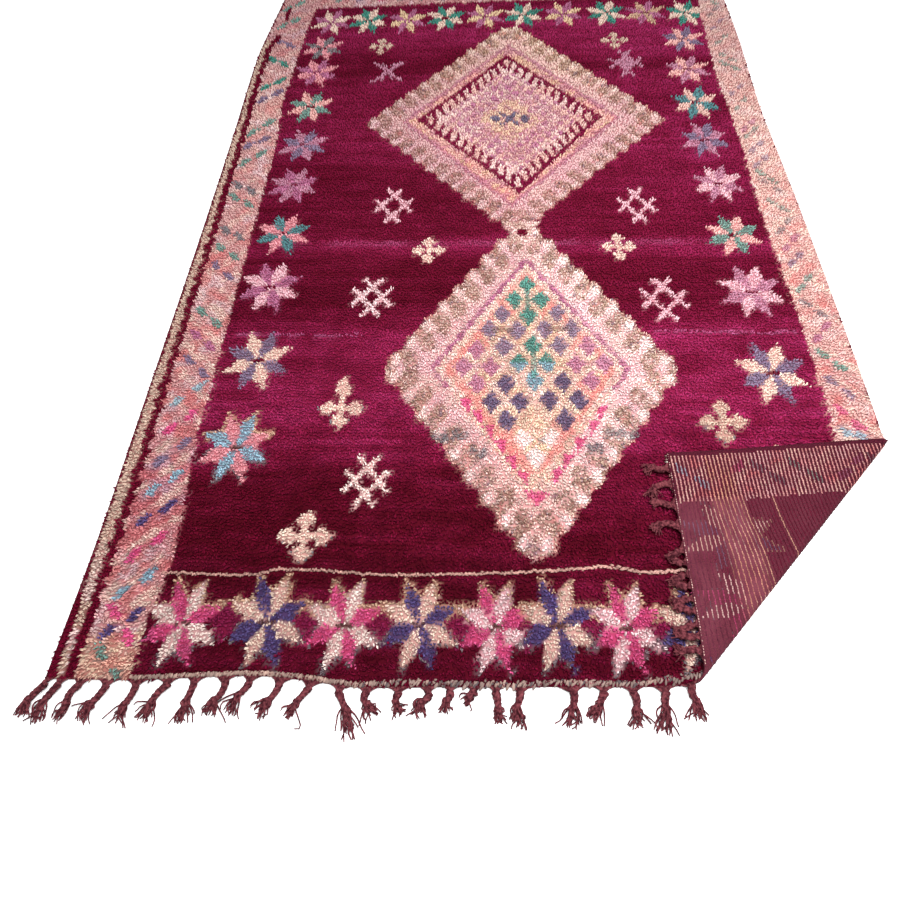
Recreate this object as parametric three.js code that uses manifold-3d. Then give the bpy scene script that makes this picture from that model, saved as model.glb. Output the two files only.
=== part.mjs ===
// A hand-knotted wool pile rug lying on the floor, with its near right corner turned over so that the back shows.
// Millimetres, +Z up. The rug is planned on a chart, which is the rug laid out flat: x runs across it from the middle of
// its field, and y runs along it from the feet of the first row of stars, away from the fringed near end.
import * as THREE from "three";
import { mergeVertices } from "three/addons/utils/BufferGeometryUtils.js";
import Module from "manifold-3d";

const wasm = await Module();
wasm.setup();

// Driving dimensions
const pileHeight = 13; // the woven foundation and the pile together
const lumpHeight = 1.3; // how far the pile rises and sinks about that height
const rimHeight = 8; // at the cut sides, where the pile leans out and thins
const rimWidth = 14;
const lumpLength = { across: 330, along: 420 };
const columns = 21;
const rows = 31;
const locksPerCell = 4; // locks of pile that hang past the side of each cell at the rim
const lockReach = { left: 1.5, right: 5, far: 3 };

const foldRadius = 9; // of the middle of the cloth's thickness, round the turned-over corner
const foldSteps = 6;
const foldNear = { x: 396, y: -6 }; // where the fold leaves the near end
const foldRight = { x: 921, y: 538 }; // where it leaves the right side

const gap = 0.4; // between the cloth and a fringe's strip
const stripWidth = 7;
const stripHeight = 5;
const rootDepth = 3; // how far inside the strip's outer edge a tassel starts
const rootRaise = 0.8; // and how far above the strip's underside
const plait = { rootWidth: 24, width: 15, endWidth: 12.5, rootHeight: 3.4, height: 7, endHeight: 5.6 };
const yarn = { count: 5, spacing: 2.7, width: 2.2, height: 2.3, raise: 0.9, tipWidth: 1.2, fan: 2.3 };

// The four sides of the rug on the chart. They are as uneven as hand weaving leaves them.
const leftSide = [
  { y: -70, x: -1045 },
  { y: 250, x: -1025 },
  { y: 640, x: -1014 },
  { y: 1130, x: -1001 },
  { y: 1700, x: -991 },
  { y: 2240, x: -986 },
  { y: 2480, x: -962 },
  { y: 2730, x: -936 },
];
const rightSide = [
  { y: -70, x: 896 },
  { y: 120, x: 902 },
  { y: 540, x: 925 },
  { y: 780, x: 924 },
  { y: 1300, x: 913 },
  { y: 1560, x: 904 },
  { y: 1860, x: 892 },
  { y: 2300, x: 896 },
  { y: 2730, x: 884 },
];
const nearSide = [
  { x: -1060, y: -60 },
  { x: -850, y: -57 },
  { x: -590, y: -41 },
  { x: -470, y: -46 },
  { x: -350, y: -57 },
  { x: -160, y: -51 },
  { x: 60, y: -44 },
  { x: 260, y: -38 },
  { x: 345, y: -33 },
  { x: 410, y: -14 },
  { x: 640, y: -10 },
  { x: 940, y: -8 },
];
const farSide = [
  { x: -1000, y: 2722 },
  { x: -400, y: 2730 },
  { x: 300, y: 2724 },
  { x: 940, y: 2716 },
];

// The plaited tassels of the near end, on the chart: where each leaves the strip, where its plait ends in loose yarns,
// and where the longest of those end.
const nearTassels = [
  { rootX: -1036, waistX: -1066, waistY: -104, tipX: -1076, tipY: -142 },
  { rootX: -1006, waistX: -1033, waistY: -110, tipX: -1042, tipY: -155 },
  { rootX: -958, waistX: -979, waistY: -110, tipX: -999, tipY: -146 },
  { rootX: -898, waistX: -926, waistY: -109, tipX: -941, tipY: -146 },
  { rootX: -832, waistX: -850, waistY: -108, tipX: -860, tipY: -149 },
  { rootX: -760, waistX: -792, waistY: -101, tipX: -813, tipY: -140 },
  { rootX: -704, waistX: -714, waistY: -96, tipX: -716, tipY: -143 },
  { rootX: -636, waistX: -655, waistY: -93, tipX: -664, tipY: -128 },
  { rootX: -581, waistX: -606, waistY: -82, tipX: -622, tipY: -121 },
  { rootX: -516, waistX: -538, waistY: -90, tipX: -562, tipY: -122 },
  { rootX: -448, waistX: -476, waistY: -92, tipX: -500, tipY: -122 },
  { rootX: -388, waistX: -366, waistY: -102, tipX: -352, tipY: -160 },
  { rootX: -326, waistX: -322, waistY: -90, tipX: -300, tipY: -116 },
  { rootX: -256, waistX: -262, waistY: -84, tipX: -246, tipY: -112 },
  { rootX: -190, waistX: -210, waistY: -82, tipX: -212, tipY: -118 },
  { rootX: -146, waistX: -154, waistY: -78, tipX: -148, tipY: -108 },
  { rootX: -92, waistX: -106, waistY: -72, tipX: -120, tipY: -88 },
  { rootX: -50, waistX: -45, waistY: -92, tipX: -43, tipY: -122 },
  { rootX: 2, waistX: -6, waistY: -87, tipX: -10, tipY: -130 },
  { rootX: 115, waistX: 111, waistY: -84, tipX: 103, tipY: -125 },
  { rootX: 180, waistX: 168, waistY: -72, tipX: 144, tipY: -106 },
  { rootX: 238, waistX: 240, waistY: -84, tipX: 246, tipY: -122 },
  { rootX: 306, waistX: 302, waistY: -78, tipX: 296, tipY: -130 },
  { rootX: 366, waistX: 369, waistY: -64, tipX: 366, tipY: -104 },
];

// The tassels of the turned-over end. Each leaves the strip where along says, counted from the fold, and lies on the pile.
// reach is how far the plait goes out from the strip, and slide how far it leans towards the rug's far end by then; tail
// and tailSlide are the same for the loose yarns.
const foldedTassels = [
  { along: 462, reach: 30, slide: 6, tail: 26, tailSlide: -12 },
  { along: 424, reach: 34, slide: -12, tail: 10, tailSlide: -30 },
  { along: 366, reach: 34, slide: 10, tail: 18, tailSlide: -8 },
  { along: 318, reach: 36, slide: 0, tail: 22, tailSlide: -16 },
  { along: 258, reach: 17, slide: -12, tail: 8, tailSlide: -16 },
  { along: 204, reach: 18, slide: -12, tail: 8, tailSlide: -18 },
  { along: 150, reach: 18, slide: -10, tail: 10, tailSlide: -18 },
  { along: 96, reach: 24, slide: -12, tail: 16, tailSlide: -12 },
  { along: 44, reach: 34, slide: -4, tail: 22, tailSlide: 6 },
];
const restOnPile = pileHeight + lumpHeight + 0.7;

// The chart's point that lies over the origin, so that the origin is at the bottom centre of the whole part.
const chartCentre = { x: -81.4, y: 1284.6 };

// Passes a smooth curve through a table's rows and reads it at one place.
function smoothly(table, from, to, place) {
  const last = table.length - 2;
  const found = table.findIndex((row) => row[from] > place);
  const k = found < 0 ? last : Math.min(Math.max(found - 1, 0), last);
  const slope = (i) => {
    const before = table[Math.max(i - 1, 0)];
    const after = table[Math.min(i + 1, table.length - 1)];
    return (after[to] - before[to]) / (after[from] - before[from]);
  };
  const [a, b] = [table[k], table[k + 1]];
  const step = b[from] - a[from];
  const u = (place - a[from]) / step;
  return (
    a[to] * (1 + 2 * u) * (1 - u) ** 2 +
    slope(k) * step * u * (1 - u) ** 2 +
    b[to] * (3 - 2 * u) * u ** 2 +
    slope(k + 1) * step * (u - 1) * u ** 2
  );
}

// The fold: past it the cloth rolls up and over, and lies on itself upside down.
const foldLength = Math.hypot(foldRight.x - foldNear.x, foldRight.y - foldNear.y);
const alongFold = { x: (foldRight.x - foldNear.x) / foldLength, y: (foldRight.y - foldNear.y) / foldLength };
const outOfFold = { x: alongFold.y, y: -alongFold.x };
const rollReach = foldRadius + pileHeight / 2; // of the outer face, past the place where the cloth leaves the floor
const rollArc = Math.PI * foldRadius;
const stripEnd = -1; // the floor's strip ends a hair before the cloth leaves the floor

function pastFold(point) {
  const out = (point.x - foldNear.x) * outOfFold.x + (point.y - foldNear.y) * outOfFold.y;
  return out + rollReach;
}

// Carries a point of the chart, up by its height over the rug's back, to where it lies once the corner is turned over.
function lay(point, height) {
  const past = pastFold(point);
  let shift = 0;
  let z = height;
  if (past > 0) {
    const radius = rollReach - height;
    const turn = Math.min(past / foldRadius, Math.PI);
    const beyond = Math.max(past - rollArc, 0);
    shift = radius * Math.sin(turn) - beyond - past;
    z = rollReach - radius * Math.cos(turn);
  }
  return new THREE.Vector3(
    point.x + shift * outOfFold.x - chartCentre.x,
    point.y + shift * outOfFold.y - chartCentre.y,
    z,
  );
}

// A net of flat cells on the chart. Cells share their corners, and each corner has the cloth's height there.
function emptyNet() {
  return { points: [], cells: [], known: new Map() };
}

function cornerOf(net, key, make) {
  if (!net.known.has(key)) {
    net.known.set(key, net.points.length);
    net.points.push(make());
  }
  return net.known.get(key);
}

function mix(a, b, share) {
  return {
    x: a.x + (b.x - a.x) * share,
    y: a.y + (b.y - a.y) * share,
    height: a.height + (b.height - a.height) * share,
  };
}

// Splits every cell that lies across a line parallel to the fold, and shares the new corners between neighbours.
function splitAlongFold(net, distance) {
  const cells = [];
  for (const cell of net.cells) {
    const before = [];
    const after = [];
    cell.forEach((a, k) => {
      const b = cell[(k + 1) % cell.length];
      const sideA = pastFold(net.points[a]) - distance;
      const sideB = pastFold(net.points[b]) - distance;
      if (sideA <= 0) before.push(a);
      if (sideA >= 0) after.push(a);
      if (sideA * sideB < 0) {
        const key = [Math.min(a, b), Math.max(a, b), distance].join();
        const cut = cornerOf(net, key, () => mix(net.points[a], net.points[b], sideA / (sideA - sideB)));
        before.push(cut);
        after.push(cut);
      }
    });
    cells.push(...[before, after].filter((part) => part.length > 2));
  }
  net.cells = cells;
}

function splitForRoll(net) {
  for (let step = 0; step <= foldSteps; step++) splitAlongFold(net, (rollArc * step) / foldSteps);
}

// Triangles of a net: a cell with many corners is fanned about its middle.
function trianglesOf(net) {
  const triangles = [];
  for (const cell of net.cells) {
    if (cell.length === 3) triangles.push(cell);
    else if (cell.length === 4) triangles.push([cell[0], cell[1], cell[2]], [cell[0], cell[2], cell[3]]);
    else {
      const corners = cell.map((i) => net.points[i]);
      const mean = (name) => corners.reduce((sum, corner) => sum + corner[name], 0) / corners.length;
      const middle = net.points.push({ x: mean("x"), y: mean("y"), height: mean("height") }) - 1;
      cell.forEach((a, k) => triangles.push([a, cell[(k + 1) % cell.length], middle]));
    }
  }
  return triangles;
}

// A closed slab over a net: its back, its upper face, and a wall round its rim, all laid through the fold.
function slabOf(net) {
  const triangles = trianglesOf(net);
  const positions = net.points.flatMap((point) => [...lay(point, 0), ...lay(point, point.height)]);
  const index = [];
  const edges = new Set(triangles.flatMap(([a, b, c]) => [`${a},${b}`, `${b},${c}`, `${c},${a}`]));
  for (const [a, b, c] of triangles) {
    index.push(2 * a + 1, 2 * b + 1, 2 * c + 1, 2 * c, 2 * b, 2 * a);
    for (const [from, to] of [[a, b], [b, c], [c, a]]) {
      if (edges.has(`${to},${from}`)) continue;
      index.push(2 * from, 2 * to, 2 * to + 1, 2 * from, 2 * to + 1, 2 * from + 1);
    }
  }
  const geometry = new THREE.BufferGeometry();
  geometry.setAttribute("position", new THREE.Float32BufferAttribute(positions, 3));
  geometry.setIndex(index);
  return geometry;
}

// The cloth. s and t run from 0 to 1 across and along it.
function sidePoint(s, t) {
  const across = (y) => THREE.MathUtils.lerp(smoothly(leftSide, "y", "x", y), smoothly(rightSide, "y", "x", y), s);
  const y = THREE.MathUtils.lerp(
    smoothly(nearSide, "x", "y", across(nearSide[0].y)),
    smoothly(farSide, "x", "y", across(farSide[0].y)),
    t,
  );
  return { x: across(y), y };
}

function pileAt({ x, y }) {
  const wave = (place, length, phase) => Math.sin((2 * Math.PI * place) / length + phase);
  const broad = wave(x + 0.4 * y, lumpLength.across, 0.6) * wave(y - 0.3 * x, lumpLength.along, 1.9);
  const fine = wave(x - 0.7 * y, lumpLength.across * 0.55, 2.2) * wave(y, lumpLength.along * 0.47, 0.3);
  return pileHeight + lumpHeight * (0.6 * broad + 0.4 * fine);
}

// Locks differ in reach from one to the next, in an order that never repeats.
function unevenness(order) {
  return 0.5 + 0.5 * Math.sin(order * 2.4 + 1.3 * Math.sin(order * 0.77));
}

function stations(count, length) {
  const inset = rimWidth / length;
  const inner = Array.from({ length: count + 1 }, (_, k) => inset + ((1 - 2 * inset) * k) / count);
  return [0, ...inner, 1];
}

const across = stations(columns, 1900);
const along = stations(rows, 2780);

function rimReach(s, t) {
  const order = Math.round((s + t) * 977);
  if (t > 0 && t < 1) {
    if (s === 0) return { x: -lockReach.left * unevenness(order), y: 0 };
    if (s === 1) return { x: lockReach.right * unevenness(order), y: 0 };
  }
  if (t === 1 && s > 0 && s < 1) return { x: 0, y: lockReach.far * unevenness(order) };
  return { x: 0, y: 0 };
}

function clothCorner(net, s, t) {
  return cornerOf(net, `${s.toFixed(6)} ${t.toFixed(6)}`, () => {
    const point = sidePoint(s, t);
    const reach = rimReach(s, t);
    const onRim = s === 0 || s === 1 || t === 0 || t === 1;
    return { x: point.x + reach.x, y: point.y + reach.y, height: onRim ? rimHeight : pileAt(point) };
  });
}

// Places between two stations that a cell's outer edge is split at, to carry its locks.
function lockPlaces(from, to, count) {
  return Array.from({ length: count - 1 }, (_, k) => from + ((to - from) * (k + 1)) / count);
}

function clothNet() {
  const net = emptyNet();
  for (let i = 0; i + 1 < across.length; i++) {
    for (let j = 0; j + 1 < along.length; j++) {
      const [s0, s1, t0, t1] = [across[i], across[i + 1], along[j], along[j + 1]];
      const locksAcross = i > 0 && i + 2 < across.length ? lockPlaces(s0, s1, locksPerCell) : [];
      const locksAlong = j > 0 && j + 2 < along.length ? lockPlaces(t0, t1, locksPerCell) : [];
      const cell = [
        [s0, t0],
        [s1, t0],
      ];
      if (s1 === 1) cell.push(...locksAlong.map((t) => [s1, t]));
      cell.push([s1, t1]);
      if (t1 === 1) cell.push(...locksAcross.map((s) => [s, t1]).reverse());
      cell.push([s0, t1]);
      if (s0 === 0) cell.push(...locksAlong.map((t) => [s0, t]).reverse());
      net.cells.push(cell.map(([s, t]) => clothCorner(net, s, t)));
    }
  }
  splitForRoll(net);
  return net;
}

// The strip that the tassels of the near end grow from, a hair's breadth outside the cloth's edge.
function stripNet(keep) {
  const net = emptyNet();
  const corner = (s, out) =>
    cornerOf(net, `${s} ${out}`, () => {
      const point = sidePoint(s, 0);
      return { x: point.x, y: point.y - out, height: stripHeight };
    });
  for (let k = 0; k + 1 < across.length; k++) {
    const outer = gap + stripWidth;
    const [a, b] = [across[k], across[k + 1]];
    net.cells.push([corner(a, outer), corner(b, outer), corner(b, gap), corner(a, gap)]);
  }
  splitAlongFold(net, stripEnd);
  splitAlongFold(net, stripEnd + gap);
  splitForRoll(net);
  net.cells = net.cells.filter((cell) => {
    const middle = cell.reduce((sum, i) => sum + pastFold(net.points[i]), 0) / cell.length;
    return keep(middle);
  });
  return onlyUsed(net);
}

function onlyUsed(net) {
  const used = [...new Set(net.cells.flat())];
  const place = new Map(used.map((old, now) => [old, now]));
  return { points: used.map((i) => net.points[i]), cells: net.cells.map((cell) => cell.map((i) => place.get(i))) };
}

// A closed strand with a flat underside. Each station is the middle of that underside, with the strand's width and height,
// and may have the heading that the strand takes there.
function strandOf(path, sides) {
  const positions = [];
  const index = [];
  path.forEach((station, k) => {
    const before = path[Math.max(k - 1, 0)];
    const after = path[Math.min(k + 1, path.length - 1)];
    const heading = station.heading ?? Math.atan2(after.y - before.y, after.x - before.x);
    const left = { x: -Math.sin(heading), y: Math.cos(heading) };
    const corner = (share, up) => {
      const offset = (share * station.width) / 2;
      positions.push(station.x + left.x * offset, station.y + left.y * offset, station.z + up * station.height);
    };
    corner(1, 0);
    corner(sides === 4 ? 0.6 : 0, 1);
    if (sides === 4) corner(-0.6, 1);
    corner(-1, 0);
  });
  for (let k = 0; k + 1 < path.length; k++) {
    for (let i = 0; i < sides; i++) {
      const [a, b] = [k * sides + i, k * sides + ((i + 1) % sides)];
      index.push(a, b, b + sides, a, b + sides, a + sides);
    }
  }
  const last = (path.length - 1) * sides;
  for (let i = 1; i + 1 < sides; i++) index.push(0, i + 1, i, last, last + i, last + i + 1);
  const geometry = new THREE.BufferGeometry();
  geometry.setAttribute("position", new THREE.Float32BufferAttribute(positions, 3));
  geometry.setIndex(index);
  return geometry;
}

function solidOf(geometry) {
  const bare = geometry.clone();
  bare.deleteAttribute("normal");
  bare.deleteAttribute("uv");
  const merged = mergeVertices(bare, 1e-4);
  const mesh = new wasm.Mesh({
    numProp: 3,
    vertProperties: merged.attributes.position.array,
    triVerts: new Uint32Array(merged.index.array),
  });
  return new wasm.Manifold(mesh);
}

function geometryOf(solid) {
  const mesh = solid.getMesh();
  const geometry = new THREE.BufferGeometry();
  geometry.setAttribute("position", new THREE.BufferAttribute(new Float32Array(mesh.vertProperties), 3));
  geometry.setIndex(new THREE.BufferAttribute(mesh.triVerts, 1));
  return geometry;
}

// One tassel: a flat plait from root to waist, and loose yarns that leave its end side by side and fan out to their tips.
function tasselOf({ root, shoulder, waist, tip, order }) {
  const heading = Math.atan2(waist.y - shoulder.y, waist.x - shoulder.x);
  const ahead = { x: Math.cos(heading), y: Math.sin(heading) };
  const end = { x: waist.x + 3 * ahead.x, y: waist.y + 3 * ahead.y, z: waist.z };
  const stem = [
    { ...root, width: plait.rootWidth, height: plait.rootHeight },
    { ...shoulder, width: plait.width, height: plait.height },
    { ...waist, width: plait.endWidth, height: plait.endHeight },
    { ...end, width: plait.endWidth, height: plait.endHeight },
  ];
  const pieces = [strandOf(stem, 4)];
  const tipHeading = Math.atan2(tip.y - waist.y, tip.x - waist.x);
  const length = Math.hypot(tip.x - waist.x, tip.y - waist.y);
  for (let k = 0; k < yarn.count; k++) {
    const aside = (k - (yarn.count - 1) / 2) * yarn.spacing;
    const reach = length * (1 - 0.28 * unevenness(order * 5 + k));
    const at = (share, spread, z, width, height) => {
      const turn = share < 0 ? heading : tipHeading;
      const out = share * reach;
      return {
        x: waist.x + Math.cos(turn) * out - Math.sin(turn) * aside * spread,
        y: waist.y + Math.sin(turn) * out + Math.cos(turn) * aside * spread,
        z: waist.z + z,
        width,
        height,
      };
    };
    const path = [
      at(-0.06, 1, yarn.raise, yarn.width, yarn.height),
      at(0.42, 1 + yarn.fan * 0.25, 0, yarn.width, yarn.height),
      at(1, 1 + yarn.fan, 0, yarn.tipWidth, yarn.tipWidth),
    ];
    pieces.push(strandOf(path, 3));
  }
  return pieces;
}

function fringeOf(strip, tassels) {
  const pieces = [slabOf(strip), ...tassels.flatMap(tasselOf)];
  return geometryOf(wasm.Manifold.union(pieces.map(solidOf)));
}

function onFloor(x, y, z = 0) {
  return { x: x - chartCentre.x, y: y - chartCentre.y, z };
}

// The middle of the strip's outer part, where a tassel's plait starts, raised a little inside it.
function rootAt(chartX) {
  const outerEdge = smoothly(nearSide, "x", "y", chartX) - gap - stripWidth;
  return { x: chartX, y: outerEdge + rootDepth };
}

// A tassel of the near end lies on the floor. The last one grows where the fold lifts the strip, and comes down from it.
function nearTasselPlaces(row, order) {
  const start = rootAt(row.rootX);
  const root = lay(start, rootRaise);
  const share = 0.38;
  return {
    root: { x: root.x, y: root.y, z: root.z, heading: -Math.PI / 2 },
    shoulder: onFloor(
      THREE.MathUtils.lerp(row.rootX, row.waistX, share),
      THREE.MathUtils.lerp(start.y, row.waistY, share),
      (root.z - rootRaise) * 0.3,
    ),
    waist: onFloor(row.waistX, row.waistY),
    tip: onFloor(row.tipX, row.tipY),
    order,
  };
}

// On the turned-over end a tassel starts in the raised strip and comes down on the pile.
function foldedTasselPlaces(row, order) {
  const start = rootAt(foldNear.x + row.along);
  const root = lay(start, stripHeight - rootRaise);
  const out = { x: 2 * alongFold.y * -alongFold.x, y: 2 * alongFold.y * -alongFold.y + 1 };
  const side = { x: -out.y, y: out.x };
  const place = (reach, slide, z) => ({
    x: root.x + out.x * reach - side.x * slide,
    y: root.y + out.y * reach - side.y * slide,
    z,
  });
  return {
    root: { x: root.x, y: root.y, z: root.z, heading: Math.atan2(out.y, out.x) },
    shoulder: place(row.reach * 0.45, row.slide * 0.4, (root.z + restOnPile) / 2 - 2),
    waist: place(row.reach, row.slide, restOnPile),
    tip: place(row.reach + row.tail, row.slide + row.tailSlide, restOnPile),
    order,
  };
}

const maroonPile = new THREE.MeshStandardMaterial({ color: 0x7a0a3a, roughness: 0.95, metalness: 0 });
const plaitedWarp = new THREE.MeshStandardMaterial({ color: 0x6e2840, roughness: 0.9, metalness: 0 });

function pieceOf(name, geometry, material) {
  const mesh = new THREE.Mesh(geometry, material);
  mesh.name = name;
  return mesh;
}

const rug = new THREE.Group();
rug.add(pieceOf("pile_cloth", slabOf(clothNet()), maroonPile));

const nearPlaces = nearTassels.map(nearTasselPlaces);
const onTheFloor = nearPlaces.filter((tassel, order) => pastFold(rootAt(nearTassels[order].rootX)) < stripEnd);
const floorStrip = stripNet((past) => past < stripEnd);
rug.add(pieceOf("fringe_near_end", fringeOf(floorStrip, onTheFloor), plaitedWarp));

const atTheFold = nearPlaces.filter((tassel) => !onTheFloor.includes(tassel));
const turnedStrip = stripNet((past) => past > stripEnd + gap);
const turnedPlaces = [...atTheFold, ...foldedTassels.map(foldedTasselPlaces)];
rug.add(pieceOf("fringe_turned_end", fringeOf(turnedStrip, turnedPlaces), plaitedWarp));

export default rug;
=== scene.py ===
import math

import bmesh
import bpy
import numpy as np
from mathutils import Matrix


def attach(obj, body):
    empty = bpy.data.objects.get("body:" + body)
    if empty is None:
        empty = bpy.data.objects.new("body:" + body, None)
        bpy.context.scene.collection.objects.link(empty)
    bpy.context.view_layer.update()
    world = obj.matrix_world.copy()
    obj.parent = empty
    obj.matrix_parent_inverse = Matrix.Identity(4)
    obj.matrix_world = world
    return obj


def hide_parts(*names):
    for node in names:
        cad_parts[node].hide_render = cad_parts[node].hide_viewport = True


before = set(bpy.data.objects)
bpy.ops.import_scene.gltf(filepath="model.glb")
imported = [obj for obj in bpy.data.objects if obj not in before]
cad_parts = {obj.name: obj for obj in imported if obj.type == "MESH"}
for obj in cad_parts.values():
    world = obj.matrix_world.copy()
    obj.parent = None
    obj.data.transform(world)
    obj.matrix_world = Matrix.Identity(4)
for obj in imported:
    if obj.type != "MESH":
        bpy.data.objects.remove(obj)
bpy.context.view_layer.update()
bpy.ops.object.select_all(action="DESELECT")

# The cloth: a hand-knotted wool rug, about 1.95 m wide and 2.78 m long, woven on plied wool
# warps. It lies flat, with its near right corner turned over on a soft roll so that the woven
# back shows. The chart is the rug spread flat, in mm: x goes across it, y away from its near end.
MM = 0.001
chart_middle = np.array([-81.4, 1284.6])  # the chart's place at the frame's origin
near_end = [
    (-1060, -60), (-850, -57), (-590, -41), (-470, -46), (-350, -57), (-160, -51),
    (60, -44), (260, -38), (345, -33), (410, -14), (640, -10), (940, -8),
]
far_end = [(-1000, 2722), (-400, 2730), (300, 2724), (940, 2716)]
left_edge = [
    (-70, -1045), (250, -1025), (640, -1014), (1130, -1001), (1700, -991), (2240, -986),
    (2480, -962), (2730, -936),
]
right_edge = [
    (-70, 896), (120, 902), (540, 925), (780, 924), (1300, 913), (1560, 904), (1860, 892),
    (2300, 896), (2730, 884),
]
fold_near = np.array([396.0, -6.0])
fold_right = np.array([921.0, 538.0])
along_fold = (fold_right - fold_near) / np.linalg.norm(fold_right - fold_near)
out_of_fold = np.array([along_fold[1], -along_fold[0]])
fold_radius = 9.0  # of the cloth's middle, mm
roll_reach = 15.5  # from the floor to the roll's middle
bed_height = 5.5  # top of the woven ground, under the pile


def smoothly(table, place):
    """A curve through a table of (station, value)."""
    stations, values = np.array(table, float).T
    slopes = np.empty(len(values))
    slopes[1:-1] = (values[2:] - values[:-2]) / (stations[2:] - stations[:-2])
    slopes[0] = (values[1] - values[0]) / (stations[1] - stations[0])
    slopes[-1] = (values[-1] - values[-2]) / (stations[-1] - stations[-2])
    place = np.clip(place, stations[0], stations[-1])
    k = np.clip(np.searchsorted(stations, place) - 1, 0, len(values) - 2)
    gap = stations[k + 1] - stations[k]
    t = (place - stations[k]) / gap
    return (
        values[k] * (1 + 2 * t) * (1 - t) ** 2
        + slopes[k] * gap * t * (1 - t) ** 2
        + values[k + 1] * t * t * (3 - 2 * t)
        + slopes[k + 1] * gap * t * t * (t - 1)
    )


def drift(x, y, across, along, seed):
    """Slow wander between -1 and 1, with steps of about across by along mm."""
    cells = 97
    middle = 40
    lattice = np.random.default_rng(seed).uniform(-1, 1, (cells, cells))
    u = x / across + middle
    v = y / along + middle
    column = np.floor(u).astype(int)
    row = np.floor(v).astype(int)
    u = u - column
    v = v - row
    u = u * u * (3 - 2 * u)
    v = v * v * (3 - 2 * v)
    next_column = (column + 1) % cells
    column = column % cells
    near, far = (
        lattice[column, k % cells] * (1 - u) + lattice[next_column, k % cells] * u
        for k in (row, row + 1)
    )
    return near * (1 - v) + far * v


def patches(x, y, across, along, seed, mean, spread, most=1.0):
    """A dye's share where it comes and goes in patches of about across by along mm."""
    return np.clip(mean + spread * drift(x, y, across, along, seed), 0, most)


def past_fold(x, y):
    """How far a place of the chart is past the line where the cloth leaves the floor, mm."""
    return (x - fold_near[0]) * out_of_fold[0] + (y - fold_near[1]) * out_of_fold[1] + roll_reach


def lay(x, y, height):
    """Where a place of the chart lies, in metres, with its height over the cloth's back."""
    past = past_fold(x, y)
    radius = roll_reach - height
    turn = np.clip(past / fold_radius, 0, math.pi)
    beyond = np.maximum(past - fold_radius * math.pi, 0)
    shift = np.where(past > 0, radius * np.sin(turn) - beyond - past, 0)
    z = np.where(past > 0, roll_reach - radius * np.cos(turn), height)
    return np.stack([
        (x + shift * out_of_fold[0] - chart_middle[0]) * MM,
        (y + shift * out_of_fold[1] - chart_middle[1]) * MM,
        z * MM,
    ], axis=-1)


def linear(hex_colour):
    """An sRGB hex colour as linear red, green and blue."""
    parts = np.array([int(hex_colour[k : k + 2], 16) for k in (0, 2, 4)]) / 255
    return np.where(parts <= 0.04045, parts / 12.92, ((parts + 0.055) / 1.055) ** 2.4)


def node(tree, kind, settings=(), sockets=(), links=()):
    """Adds a node with its settings, its inputs' values and what they are linked to."""
    made = tree.nodes.new(kind)
    for name, value in dict(settings).items():
        setattr(made, name, value)
    for name, value in dict(sockets).items():
        made.inputs[name].default_value = value
    for name, source in dict(links).items():
        tree.links.new(made.inputs[name], source)
    return made


def wool_finish(name, roughness=0.95, specular=0.06):
    """A dull wool material, its node tree and its shader."""
    made = bpy.data.materials.new(name)
    made.use_nodes = True
    shader = made.node_tree.nodes["Principled BSDF"]
    shader.inputs["Roughness"].default_value = roughness
    shader.inputs["Specular IOR Level"].default_value = specular
    return made, made.node_tree, shader


def dyed_wool(name):
    """Wool in the colours that the attribute named wool gives to its knots."""
    made, tree, shader = wool_finish(name)
    tint = node(tree, "ShaderNodeAttribute", {"attribute_name": "wool"})
    tree.links.new(shader.inputs["Base Color"], tint.outputs["Color"])
    return made


def places_of(mesh):
    """The places of a mesh's vertices."""
    found = np.empty(len(mesh.vertices) * 3)
    mesh.vertices.foreach_get("co", found)
    return found.reshape(-1, 3)


bpy.ops.mesh.primitive_grid_add(x_subdivisions=130, y_subdivisions=180, size=1)
cloth = bpy.context.object
cloth.name = "rug_cloth"
# the grid's lines are stretched between the uneven sides, which meet after three rounds
square = places_of(cloth.data) + 0.5
across, away = square[:, 0], square[:, 1]
straight_left, straight_right = -1040, 910
x = (1 - across) * straight_left + across * straight_right
for _ in range(3):
    y = (1 - away) * smoothly(near_end, x) + away * smoothly(far_end, x)
    x = (1 - across) * smoothly(left_edge, y) + across * smoothly(right_edge, y)
y = (1 - away) * smoothly(near_end, x) + away * smoothly(far_end, x)
cloth.data.vertices.foreach_set("co", np.stack([x, y, 0 * x], axis=1).ravel())

# creases let the flat grid follow the roll
creases = 9
bm = bmesh.new()
bm.from_mesh(cloth.data)
for crease in range(creases):
    start = fold_near + out_of_fold * (crease / (creases - 1) * fold_radius * math.pi - roll_reach)
    bmesh.ops.bisect_plane(
        bm,
        geom=bm.verts[:] + bm.edges[:] + bm.faces[:],
        plane_co=(*start, 0),
        plane_no=(*out_of_fold, 0),
    )
bm.to_mesh(cloth.data)
bm.free()
chart = places_of(cloth.data)
cloth.data.attributes.new("chart", "FLOAT_VECTOR", "POINT").data.foreach_set("vector", chart.ravel())
laid = lay(chart[:, 0], chart[:, 1], np.full(len(chart), bed_height))
cloth.data.vertices.foreach_set("co", laid.ravel())

# Knotted wool, seen between the tufts: their dyes, darkened by the shade down in the pile.
cloth.data.materials.append(dyed_wool("knotted wool bed"))

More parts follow.
